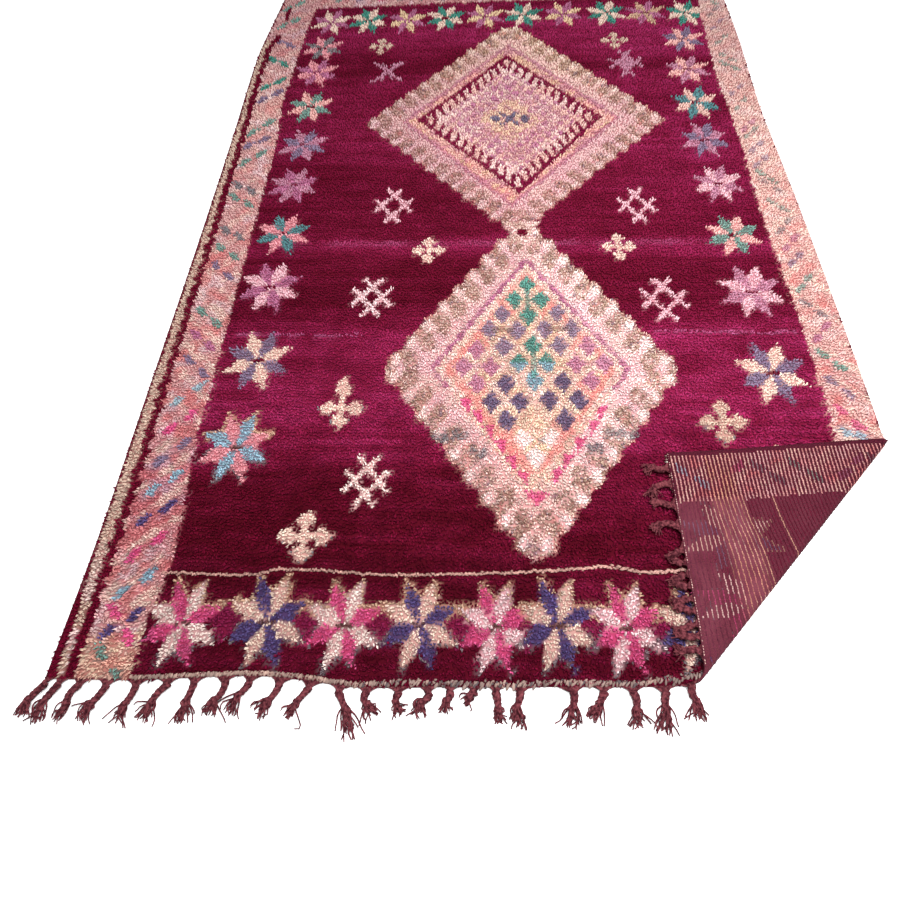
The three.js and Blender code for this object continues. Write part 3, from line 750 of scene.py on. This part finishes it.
def paint(mesh, name, colours):
    """Gives each vertex a colour that the wool's materials read by its name."""
    layer = mesh.attributes.new(name, "FLOAT_COLOR", "POINT")
    layer.data.foreach_set("color", np.hstack([colours, np.ones((len(colours), 1))]).ravel())


def drawn_out(x, y):
    """How far the rows of the turned corner have been pulled away from its end, mm."""
    pull = np.interp(x, [600, 640, 667, 727, 780], [27, 24, 20, 9, 3])
    return pull * np.clip(y / 120, 0, 1)


chart = np.empty(len(cloth.data.vertices) * 3)
cloth.data.attributes["chart"].data.foreach_get("vector", chart)
x, y, _ = chart.reshape(-1, 3).T
# painted shade: the bed under the tufts takes the dyes darkened as the shade down in the pile
paint(cloth.data, "wool", tied_wool(x, y) * [0.42, 0.30, 0.32])
row = y - drawn_out(x, y)
rubbed_band = np.interp(row, [0, 40, 66, 80, 132, 148], [0.20, 0.16, 0.12, 0.26, 0.26, 0.1])
rubbed_band = rubbed_band * (0.8 + 0.4 * drift(x, y, 30, 7, 71)) * (x < smoothly(right_field, y))
cloth.data.attributes.new("rubbed", "FLOAT", "POINT").data.foreach_set("value", rubbed_band)

# The pile: each knot is two or three soft ends of handspun wool, 13 mm long, that lean with
# their neighbours and part in shadowed drifts. It is made in five strips from the near end,
# with finer knots where it is seen from close by, and left out inside the fold.
bpy.ops.mesh.primitive_cone_add(vertices=3, radius1=1, radius2=0, depth=1, end_fill_type="NGON")
tuft = bpy.context.object
bpy.ops.object.mode_set(mode="EDIT")
bpy.ops.mesh.select_all(action="SELECT")
bpy.ops.transform.translate(value=(0, 0, 0.5))
bpy.ops.transform.rotate(value=-math.pi / 2, orient_axis="Y", center_override=(0, 0, 0))
bpy.ops.object.mode_set(mode="OBJECT")
bpy.ops.object.shade_smooth()
tip = tuft.data.attributes.new("tip", "FLOAT", "POINT")
tip.data.foreach_set("value", [abs(v.co.x) for v in tuft.data.vertices])


def planting_of(model):
    """Nodes that set a copy of the model on each point, turned and sized as the point says."""
    planting = bpy.data.node_groups.new("plant " + model.name, "GeometryNodeTree")
    planting.interface.new_socket("Geometry", in_out="INPUT", socket_type="NodeSocketGeometry")
    planting.interface.new_socket("Geometry", in_out="OUTPUT", socket_type="NodeSocketGeometry")
    places = node(planting, "NodeGroupInput")
    copied = node(planting, "GeometryNodeObjectInfo", sockets={"Object": model})
    vector = {"data_type": "FLOAT_VECTOR"}
    turn = node(planting, "GeometryNodeInputNamedAttribute", vector, {"Name": "turn"})
    size = node(planting, "GeometryNodeInputNamedAttribute", vector, {"Name": "size"})
    copies = node(planting, "GeometryNodeInstanceOnPoints", links={
        "Points": places.outputs[0],
        "Instance": copied.outputs["Geometry"],
        "Rotation": turn.outputs["Attribute"],
        "Scale": size.outputs["Attribute"],
    })
    instances = copies.outputs["Instances"]
    real = node(planting, "GeometryNodeRealizeInstances", links={"Geometry": instances})
    node(planting, "NodeGroupOutput", links={"Geometry": real.outputs["Geometry"]})
    return planting


def show_alone(made):
    """Puts a new object in the scene, and selects it and nothing else."""
    bpy.context.collection.objects.link(made)
    bpy.ops.object.select_all(action="DESELECT")
    bpy.context.view_layer.objects.active = made
    made.select_set(True)


def plant(name, model, planting, chart_x, chart_y, root, way, thick, wool, finish):
    """Sets copies of a model, which points along x, from root along way.

    All are in metres but the chart's x and y, which are in mm.
    """
    reach = np.linalg.norm(way, axis=1)
    twist = np.zeros(len(root))
    if model is tuft:
        twist = np.random.default_rng(len(root)).uniform(0, 2 * math.pi, len(root))
    rise = -np.arcsin(way[:, 2] / reach)
    heading = np.arctan2(way[:, 1], way[:, 0])
    turn = np.column_stack([twist, rise, heading])
    size = np.column_stack([reach, thick])
    mesh = bpy.data.meshes.new(name)
    mesh.vertices.add(len(root))
    mesh.vertices.foreach_set("co", root.ravel())
    mesh.attributes.new("turn", "FLOAT_VECTOR", "POINT").data.foreach_set("vector", turn.ravel())
    mesh.attributes.new("size", "FLOAT_VECTOR", "POINT").data.foreach_set("vector", size.ravel())
    paint(mesh, "wool", np.clip(wool, 0, 1))
    made = bpy.data.objects.new(name, mesh)
    show_alone(made)
    made.modifiers.new("planted", "NODES").node_group = planting
    bpy.ops.object.modifier_apply(modifier="planted")
    made.data.materials.clear()
    made.data.materials.append(finish)
    # the map named OFBake: each copy lies flat round its own knot on the chart, a tuft seen along
    # its length and the other models from above
    shape = places_of(model.data)
    corner = np.empty(len(made.data.loops), int)
    made.data.loops.foreach_get("vertex_index", corner)
    copy, vertex = np.divmod(corner, len(shape))
    across, along = (1, 2) if model is tuft else (0, 1)
    flat_x = chart_x[copy] + shape[vertex, across] * size[copy, across] / MM
    flat_y = chart_y[copy] + shape[vertex, along] * size[copy, along] / MM
    flat_x = (flat_x - flat_x.min()) / np.ptp(flat_x)
    flat_y = (flat_y - flat_y.min()) / np.ptp(flat_y)
    baked = made.data.uv_layers.new(name="OFBake")
    baked.uv.foreach_set("vector", np.column_stack([flat_x, flat_y]).ravel())
    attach(made, "root")
    return made


# Handspun wool: dull, with painted shade that darkens each end towards its root,
# down in the pile where light doesn't reach.
pile_wool, tree, shader = wool_finish("handspun wool pile", roughness=0.9, specular=0.04)
tint = node(tree, "ShaderNodeAttribute", {"attribute_name": "wool"})
depth = node(tree, "ShaderNodeAttribute", {"attribute_name": "tip"})
# painted shade: each end's wool darkens from 0.6 of its length down to its root
shade = node(
    tree, "ShaderNodeMapRange", sockets={"From Max": 0.6, "To Min": 0.36, "To Max": 0.78},
    links={"Value": depth.outputs["Fac"]},
)
multiply = {"data_type": "RGBA", "blend_type": "MULTIPLY"}
root_shaded = node(tree, "ShaderNodeMix", multiply, {"Factor": 1.0})
tree.links.new(root_shaded.inputs[6], tint.outputs["Color"])
tree.links.new(root_shaded.inputs[7], shade.outputs["Result"])
tree.links.new(shader.inputs["Base Color"], root_shaded.outputs[2])

divider = [
    (-850, 180), (-615, 179), (-570, 193), (-443, 192), (-308, 186), (-20, 197), (138, 210),
    (207, 216), (290, 205), (380, 212), (780, 215),
]
divider_pitch = 3.4
foot_height = 3.2  # of a tuft over the cloth's back
pile_length = 13
side_depth = 16  # how far in from the rug's sides the pile leans out and thins
covered_depth = 25  # how far under the turned corner the pile is left out
seen_depth = 26  # how far in from the sides it is made where the cloth has turned over
bare_side = np.array([[3], [3], [4], [4]])  # the knots start this far in: left, right, near, far
# strip, from y, to y, knot pitch, row pitch, ends to a knot, radius of an end, unevenness; mm
strips = [
    ("pile_near", -60, 290, 5.6, 8.6, 3, 2.6, 1.0),
    ("pile_fore", 290, 640, 5.6, 8.6, 3, 2.6, 0.9),
    ("pile_middle", 640, 1080, 6.0, 8.8, 2, 3.1, 0.7),
    ("pile_beyond", 1080, 1700, 7.2, 9.2, 2, 3.4, 0.6),
    ("pile_far", 1700, 2730, 8.6, 10.4, 2, 3.9, 0.6),
]


def at_side(gap):
    """One at a side of the rug, and less further in, down to none at side_depth."""
    return np.clip(1 - gap / side_depth, 0, 1)


tuft_planting = planting_of(tuft)
for number, (name, y0, y1, across, along, ends, girth, uneven) in enumerate(strips):
    rng = np.random.default_rng(number + 50)
    grid_x, grid_y = np.meshgrid(np.arange(-1050, 930, across), np.arange(y0, y1, along))
    grid_x = grid_x + (np.arange(grid_x.shape[0]) % 2)[:, None] * across / 2
    grid_x, grid_y = grid_x.ravel(), grid_y.ravel()
    x = grid_x + rng.normal(0, 0.20 * across, grid_x.size)
    y = grid_y + rng.normal(0, 0.22 * along, grid_y.size) + 3 * drift(grid_x, grid_y, 130, 130, 90)
    rope = np.zeros(len(x), bool)
    if number == 0:
        # the divider is one row of ivory knots right across the field
        clear = abs(y - smoothly(divider, x)) > 6
        clear |= (x < smoothly(left_field, y)) | (x > smoothly(right_field, y))
        rope_x = np.arange(-840, 790, divider_pitch)
        x = np.append(x[clear], rope_x)
        y = np.append(y[clear], smoothly(divider, rope_x) + rng.normal(0, 1.6, len(rope_x)))
        rope = np.arange(len(x)) >= np.count_nonzero(clear)
    gaps = np.stack([
        x - smoothly(left_edge, y),
        smoothly(right_edge, y) - x,
        y - smoothly(near_end, x),
        smoothly(far_end, x) - y,
    ])
    past = past_fold(x, y)
    turned = fold_radius * math.pi - 2 * past
    over_x = x + turned * out_of_fold[0]
    over_y = y + turned * out_of_fold[1]
    covered = over_x < smoothly(right_edge, over_y) - covered_depth
    covered &= over_y > smoothly(near_end, over_x) + covered_depth
    keep = (gaps > bare_side).all(axis=0)
    keep &= np.where(past < 0, ~covered, gaps.min(axis=0) < seen_depth)
    x, y, rope, gaps = x[keep], y[keep], rope[keep], gaps[:, keep]
    n = len(x)
    wool = tied_wool(x, y)
    wool[rope] = linear("B28A80")
    clump = 1 + 0.24 * uneven**2 * drift(x, y, 12, 12, 83)
    wool = wool * (clump * rng.normal(1, 0.15 * uneven, n).clip(0.55, 1.4))[:, None]
    lean_x, lean_y = (
        (3 * drift(x, y, 70, 70, seed) + 4 * drift(x, y, 20, 20, seed + 2)) * uneven
        + rng.normal(0, 2.1 * uneven, n)
        for seed in (78, 79)
    )
    lean_x = np.where(rope, 4, lean_x) - 3 * at_side(gaps[0]) + 6 * at_side(gaps[1])
    lean_y = np.where(rope, -3, lean_y - 2) - 6 * at_side(gaps[2]) + 6 * at_side(gaps[3])
    length = rng.normal(pile_length, 1.0 * uneven, n) + 0.8 * drift(x, y, 300, 300, 82)
    length -= 4.5 * at_side(gaps.min(axis=0))
    # each knot's ends stand round it
    x, y, lean_x, lean_y, length, rope = (
        np.repeat(values, ends) for values in (x, y, lean_x, lean_y, length, rope)
    )
    wool = np.repeat(wool, ends, axis=0)
    wool *= rng.normal(1, 0.10 * uneven, n * ends).clip(0.7, 1.3)[:, None]
    round_knot = np.tile(np.arange(ends) / ends, n) * 2 * math.pi
    round_knot += np.repeat(rng.uniform(0, 6.28, n), ends)
    foot_x = x + 0.24 * across * np.cos(round_knot)
    foot_y = y + 0.31 * across * np.sin(round_knot)
    tip_x = x + lean_x + rng.normal(0, 1.1, n * ends) + 0.17 * across * np.cos(round_knot)
    tip_y = y + lean_y + rng.normal(0, 1.1, n * ends) + 0.17 * across * np.sin(round_knot)
    rise = np.sqrt(np.clip(length**2 - (lean_x**2 + lean_y**2), 36, None)).clip(5, pile_length)
    rise = rise + rng.normal(0, 0.7 * uneven, n * ends)
    root = lay(foot_x, foot_y, np.full(n * ends, foot_height))
    way = lay(tip_x, tip_y, foot_height + rise) - root
    radius = girth * rng.normal(1, 0.12, n * ends).clip(0.7, 1.3) * MM * (1 + 0.5 * rope)
    thick = np.column_stack([radius, radius])
    plant(name, tuft, tuft_planting, foot_x, foot_y, root, way, thick, wool, pile_wool)

# The back of the turned corner: each knot shows there as a small bead of its wool between the
# picks of weft, so the design runs through in thin lines about 9 mm apart.
bead_pitch = 4.6
back_pitch = 9.0  # from row to row of beads
bead_reach = 3.2  # each way from its middle
bead_height = 0.3  # of its middle line over the cloth's back


def ball_of_wool(segments, ring_count):
    """A ball one long and one thick, from the origin along x."""
    bpy.ops.mesh.primitive_uv_sphere_add(segments=segments, ring_count=ring_count, radius=0.5)
    bpy.ops.object.mode_set(mode="EDIT")
    bpy.ops.mesh.select_all(action="SELECT")
    bpy.ops.transform.translate(value=(0.5, 0, 0))
    bpy.ops.object.mode_set(mode="OBJECT")
    bpy.ops.object.shade_smooth()
    return bpy.context.object


bead = ball_of_wool(5, 3)
# Knot wool rubbed flat on the back, duller and darker than on the pile.
knot_wool = dyed_wool("rubbed knot wool")
rng = np.random.default_rng(9)
grid_x, grid_y = np.meshgrid(np.arange(380, 925, bead_pitch), np.arange(-8, 545, back_pitch))
grid_x, grid_y = grid_x.ravel(), grid_y.ravel()
x = grid_x + rng.normal(0, 0.3, grid_x.size)
row = grid_y + rng.normal(0, 0.4, grid_y.size)
y = row + drawn_out(x, row) + 3.0 * drift(grid_x, grid_y, 90, 260, 91)
keep = (past_fold(x, y) > 4) & (x < smoothly(right_edge, y) - 11) & (y > smoothly(near_end, x) + 7)
x, y, row = x[keep], y[keep], row[keep]
n = len(x)
wool = tied_wool(x, row)
in_field = x < smoothly(right_field, row)
for tan_row in (142, smoothly(divider, x)):
    wool[in_field & (abs(row - tan_row) < 4.5)] = yarn["tan"]
dull = np.where(wool.sum(axis=1) > 1.2, 0.18, 0.45)[:, None]
wool = wool * (1 - dull) + linear("601A30") * dull
tan_band = np.interp(row, [68, 82, 132, 150], [0, 0.85, 0.85, 0])
tan_band = (tan_band * (0.75 + 0.5 * drift(x, y, 30, 9, 72)))[:, None]
wool = wool * (1 - tan_band) + linear("CC9E84") * tan_band
pale = np.clip(wool.sum(axis=1), 0, 1)[:, None]
rubbed_end = (in_field * np.interp(row, [20, 70], [1, 0]))[:, None]
wool = wool + rubbed_end * (1 - pale) * [0.06, 0.03, 0.045]
wool = wool * (0.42 + pale * [0.04, -0.06, -0.06]) * rng.normal(1, 0.17, n).clip(0.5, 1.4)[:, None]
root = lay(x - bead_reach, y, np.full(n, bead_height))
way = lay(x + bead_reach, y, np.full(n, bead_height)) - root
width = rng.normal(3.6, 0.4, n) + 1.4 * ~in_field
thick = np.column_stack([width, np.full(n, 2.3)]) * MM
knot_backs = plant("knot_backs", bead, planting_of(bead), x, y, root, way, thick, wool, knot_wool)

# The ends are finished with a row of greyed ivory wool, overcast in slanting stitches round
# the last picks. It is thick and loose on the near end, and a thin line on the turned one.
stitch = ball_of_wool(8, 5)
overcast = planting_of(stitch)
# Ivory wool gone grey with dust, with a few dark loose turns.
end_wool = dyed_wool("overcast ivory wool")
near_pitch = 3.5
turned_pitch = 5.6
end_row = [
    (-1060, -58), (-847, -51), (-586, -35), (-475, -38), (-352, -50), (-270, -45), (-41, -42),
    (60, -36), (261, -29), (392, -10), (900, -4),
]
rng = np.random.default_rng(10)
x = np.arange(-850, 392, near_pitch)
x = x + rng.normal(0, 0.7, len(x))
n = len(x)
loose = np.clip((x + 420) / 200, 0, 1)
y = smoothly(end_row, x) + rng.normal(0, 0.8 + 1.8 * loose, n)
root = lay(x + 2.5, y + 4.5, 9.5 + rng.normal(0, 0.8, n))
end_x = x - 3.5 + rng.normal(0, 1 + 3 * loose, n)
end_y = y - 6 + rng.normal(0, 1 + 2.5 * loose, n)
way = lay(end_x, end_y, np.full(n, 5.0)) - root
width = rng.normal(6.1, 0.9, n)
thick = np.column_stack([width, rng.normal(5.8, 0.7, n)]) * MM
greyed = np.clip(0.25 + 0.35 * loose + 0.5 * drift(x, y, 40, 900, 73), 0, 0.9)[:, None]
wool = linear("8C746A") * (1 - greyed) + linear("6A5A56") * greyed
wool = wool * rng.normal(1, 0.22, n).clip(0.5, 1.4)[:, None]
dark = (rng.random(n) < 0.2 * loose)[:, None]
wool = np.where(dark, linear("4C4244"), wool)
near_stitches = plant("end_row_stitches", stitch, overcast, x, y, root, way, thick, wool, end_wool)

x = np.arange(404, 893, turned_pitch)
n = len(x)
y = smoothly(near_end, x) + 2.5
root = lay(x - 2, y, np.full(n, 1.5))
way = lay(x + 5, y - 1, np.full(n, 1.5)) - root
width = rng.normal(3.2, 0.4, n)
thick = np.column_stack([width, rng.normal(3.4, 0.4, n)]) * MM
wool = linear("A88880") * rng.normal(1, 0.2, n).clip(0.5, 1.4)[:, None]
turned_stitches = plant(
    "turned_end_stitches", stitch, overcast, x, y, root, way, thick, wool, end_wool
)
for model in (tuft, bead, stitch):
    bpy.data.objects.remove(model)

# The fringe of the near end: the warps run out of the cloth in shallow arcs, are gathered and
# plaited three by three, and end in loose kinked yarns, all lying on the floor. Each row is
# where a plait starts, where it ends and where its yarns end, mm on the chart.
near_tassels = [
    (-1036, -1066, -104, -1076, -142), (-1006, -1033, -110, -1042, -155),
    (-958, -979, -110, -999, -146), (-898, -926, -109, -941, -146),
    (-832, -850, -108, -860, -149), (-760, -792, -101, -813, -140),
    (-704, -714, -96, -716, -143), (-636, -655, -93, -664, -128), (-581, -606, -82, -622, -121),
    (-516, -538, -90, -562, -122), (-448, -476, -92, -500, -122), (-388, -366, -102, -352, -160),
    (-326, -322, -90, -300, -116), (-256, -262, -84, -246, -112), (-190, -210, -82, -212, -118),
    (-146, -154, -78, -148, -108), (-92, -106, -72, -120, -88), (-50, -45, -92, -43, -122),
    (2, -6, -87, -10, -130), (115, 111, -84, 103, -125), (180, 168, -72, 144, -106),
    (238, 240, -84, 246, -122), (306, 302, -78, 296, -130), (366, 369, -64, 366, -104),
]
# The tassels' own sizes are in metres.
strand_radius = 0.0050
strand_swing = 0.0046  # to each side of a plait's middle line
strand_lift = 0.0022  # above and below it
spine_height = 0.0078  # of a plait's middle line over what it lies on
plait_turn = 0.030  # the length in which its strands change places once round
sag = 0.0035
warp_radius = (0.0013, 0.0024)  # where it leaves the cloth, and at the plait
yarn_radius = (0.0020, 0.0014)  # at the plait, and at its loose end
foot_count = 15
foot_spread = 45  # mm to each side of the plait
yarn_count = 26


def tassel(root, waist, tip, base, seed, feet):
    """One tassel's lines: warps gathered from feet, three strands to the waist, yarns to the tip."""
    rng = np.random.default_rng(seed)
    lines = []
    axis = waist - root
    length = np.linalg.norm(axis)
    side = np.cross(axis / length, [0, 0, 1])
    side /= np.linalg.norm(side)
    t = np.linspace(0, 1, 11)
    spine = root + np.outer(t, axis)
    # the plait sags from its root to lie on what is under it
    spine[:, 2] = base + spine_height + (root[2] - base - spine_height) * (1 - t) ** 2
    spine += np.outer(sag * rng.normal() * np.sin(np.pi * t), side)
    for strand in range(3):
        phase = 2 * math.pi * (strand / 3 + t * length / plait_turn) + seed
        points = spine + np.outer(np.sin(phase) * strand_swing * (1 - 0.15 * t), side)
        points[:, 2] += np.cos(phase) * strand_lift
        uneven = 1 + 0.05 * rng.normal(size=11)
        lines.append((points, strand_radius * (1.15 - 0.3 * t) * uneven))
    # the warps bend round to run along the end before they are gathered
    if abs(axis[0]) > abs(axis[1]):
        share, push = [0.0, 0.78, 0.3], [-0.002, 0, 0]
    else:
        share, push = [0.78, 0.0, 0.3], [0, -0.002, 0]
    for foot in feet:
        u = np.linspace(0, 1, 5)[:, None]
        bend = foot + (root - foot) * share + push
        points = foot * (1 - u) ** 2 + 2 * u * (1 - u) * bend + u**2 * (root + 0.3 * axis)
        points[:, 2] += 0.001 * np.sin(np.pi * u[:, 0])
        points[:, :2] += rng.normal(0, 0.0006, (5, 2))
        lines.append((points, np.linspace(*warp_radius, 5)))
    ahead = (tip - waist) * [1, 1, 0]
    reach = np.linalg.norm(ahead)
    ahead /= reach
    across = np.array([-ahead[1], ahead[0], 0])
    for _ in range(yarn_count):
        fan = rng.normal(0, 0.36)
        far = reach * rng.uniform(0.6, 1.15)
        t = np.linspace(0, 1, 7)
        kink = rng.normal(0, 0.004) * np.sin(np.pi * t * rng.uniform(1, 2.6))
        kink += rng.normal(0, 0.005) * t**3
        sway = np.tan(fan) * far * t * (1 - 0.35 * t) + kink
        sway += rng.uniform(-0.005, 0.005) * (1 - t)
        points = spine[-1] - 0.008 * ahead + np.outer(t * far, ahead) + np.outer(sway, across)
        points[:, 2] = base + 0.0021 + rng.uniform(0, 0.009) * (1 - t * 0.7)
        points[:, 2] += rng.uniform(0, 0.004) * np.sin(np.pi * t)
        lines.append((points, np.linspace(*yarn_radius, 7)))
    return lines


def feet_of(middle, before, after):
    """Where a tassel's warps leave the cloth, from half way to the tassel before it to the next."""
    first = max((middle + before) / 2, middle - foot_spread)
    last = min((middle + after) / 2, middle + foot_spread)
    x = np.linspace(first, last, foot_count)
    return lay(x, smoothly(near_end, x) + 3, np.full(foot_count, 4.0))


def warp_root(x):
    """Where a tassel's plait starts, a little outside the near end."""
    place = np.array([x])
    return lay(place, smoothly(near_end, place) - 9, np.array([9.8]))[0]


def cords(name, lines, cad_node):
    """Tubes along lines of (points, radii), as one piece in plaited wool."""
    curve = bpy.data.curves.new(name, "CURVE")
    curve.dimensions = "3D"
    curve.bevel_depth = 1
    curve.bevel_resolution = 0
    curve.use_fill_caps = True
    for points, radii in lines:
        spline = curve.splines.new("POLY")
        spline.points.add(len(points) - 1)
        spline.points.foreach_set("co", np.hstack([points, np.ones((len(points), 1))]).ravel())
        spline.points.foreach_set("radius", np.asarray(radii, float))
    show_alone(bpy.data.objects.new(name, curve))
    bpy.ops.object.convert(target="MESH")
    bpy.ops.object.shade_smooth()
    made = bpy.context.object
    made.data.materials.append(warp_wool)
    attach(made, "root")
    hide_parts(cad_node)


# Plied warp wool, brown maroon with flecks of rose where its plies turn.
warp_wool, tree, shader = wool_finish("plaited wool warp", roughness=0.9, specular=0.1)
ply_turn = 6.25  # mm
spot = node(tree, "ShaderNodeTexCoord")
ply = node(
    tree, "ShaderNodeTexNoise", sockets={"Scale": 1 / (ply_turn * MM), "Detail": 2.0},
    links={"Vector": spot.outputs["Object"]},
)
ramp = node(tree, "ShaderNodeValToRGB", links={"Fac": ply.outputs["Fac"]})
ramp.color_ramp.elements[0].position = 0.36
ramp.color_ramp.elements[0].color = (*linear("300C14"), 1)
ramp.color_ramp.elements[1].position = 0.68
ramp.color_ramp.elements[1].color = (*linear("6A343A"), 1)
tree.links.new(shader.inputs["Base Color"], ramp.outputs["Color"])

starts = [row[0] for row in near_tassels]
starts = [starts[0] - 20, *starts, starts[-1] + 24]
near_lines = []
turned_lines = []
for k, (start_x, waist_x, waist_y, tip_x, tip_y) in enumerate(near_tassels):
    waist = (np.array([waist_x, waist_y, 0]) - [*chart_middle, 0]) * MM
    tip = (np.array([tip_x, tip_y, 0]) - [*chart_middle, 0]) * MM
    feet = feet_of(start_x, starts[k], starts[k + 2])
    made = tassel(warp_root(start_x), waist, tip, 0.0, k + 1, feet)
    # the last one grows out of the fold and goes with the turned end's
    (turned_lines if start_x > 350 else near_lines).extend(made)
cords("near_fringe", near_lines, "fringe_near_end")

# The fringe of the turned end: the same tassels, shorter and more tangled, which hang off the
# turned edge and lie on the pile in front of it. Each row is its way along the end from the
# fold, the plait's reach and slide, then the loose yarns' reach and slide, mm.
turned_tassels = [
    (462, 30, 6, 26, -12), (424, 34, -12, 10, -30), (366, 34, 10, 18, -8), (318, 36, 0, 22, -16),
    (258, 18, -12, 8, -16), (228, 14, 8, 12, 10), (204, 20, -12, 8, -18), (176, 20, 6, 14, 14),
    (150, 22, -10, 12, -18), (122, 24, 8, 12, 12), (96, 28, -12, 16, -12), (70, 28, 4, 18, 12),
    (44, 34, -4, 22, 6),
]
pile_top = 0.0150  # metres
off_end = np.array([-2 * along_fold[1] * along_fold[0], 1 - 2 * along_fold[1] ** 2])
down_end = np.array([-off_end[1], off_end[0]])
starts = [fold_near[0] + row[0] for row in turned_tassels]
starts = [starts[0] + 60, *starts, starts[-1] - 60]
for k, (_, reach, slide, tail, tail_slide) in enumerate(turned_tassels):
    start_x = starts[k + 1]
    root = warp_root(start_x)
    waist = root[:2] + (off_end * reach - down_end * slide) * MM
    tip = root[:2] + (off_end * (reach + tail) - down_end * (slide + tail_slide)) * MM
    feet = feet_of(start_x, starts[k + 2], starts[k])
    made = tassel(root, np.array([*waist, 0]), np.array([*tip, 0]), pile_top, k + 41, feet)
    turned_lines.extend(made)
cords("turned_fringe", turned_lines, "fringe_turned_end")

# The view: a camera about 1.3 m over the near end, looking down along the rug, over a floor of
# white paper, with a soft lamp over its middle and even light from all round.
picture_width = 900
view_depth = 542.8  # the lens's length on a picture that wide
sensor_width = 36
camera_place = (-0.0152, -1.3675, 1.2709)  # metres
heading = 6.5686  # degrees
look_down = 64.7726
roll = -5.299
bpy.ops.object.select_all(action="DESELECT")
bpy.ops.object.camera_add()
camera = bpy.context.object
camera.data.lens = sensor_width * view_depth / picture_width
camera.matrix_world = (
    Matrix.Translation(camera_place)
    @ Matrix.Rotation(math.radians(heading), 4, "Z")
    @ Matrix.Rotation(math.radians(90 - look_down), 4, "X")
    @ Matrix.Rotation(math.radians(roll), 4, "Z")
)
bpy.context.scene.camera = camera
bpy.ops.mesh.primitive_plane_add(size=30, location=(0, 0, 0))
floor = bpy.context.object
paper, tree, shader = wool_finish("white paper", roughness=1.0, specular=0.0)
shader.inputs["Base Color"].default_value = (0.92, 0.92, 0.92, 1)
floor.data.materials.append(paper)
bpy.ops.object.light_add(type="AREA", location=(0.35, -0.6, 2.05))
lamp = bpy.context.object
lamp.data.energy = 100
lamp.data.size = 1.3
studio = bpy.data.worlds.new("studio")
bpy.context.scene.world = studio
studio.use_nodes = True
studio.node_tree.nodes["Background"].inputs["Color"].default_value = (1, 1, 1, 1)
studio.node_tree.nodes["Background"].inputs["Strength"].default_value = 1.0
bpy.context.scene.view_settings.view_transform = "Standard"
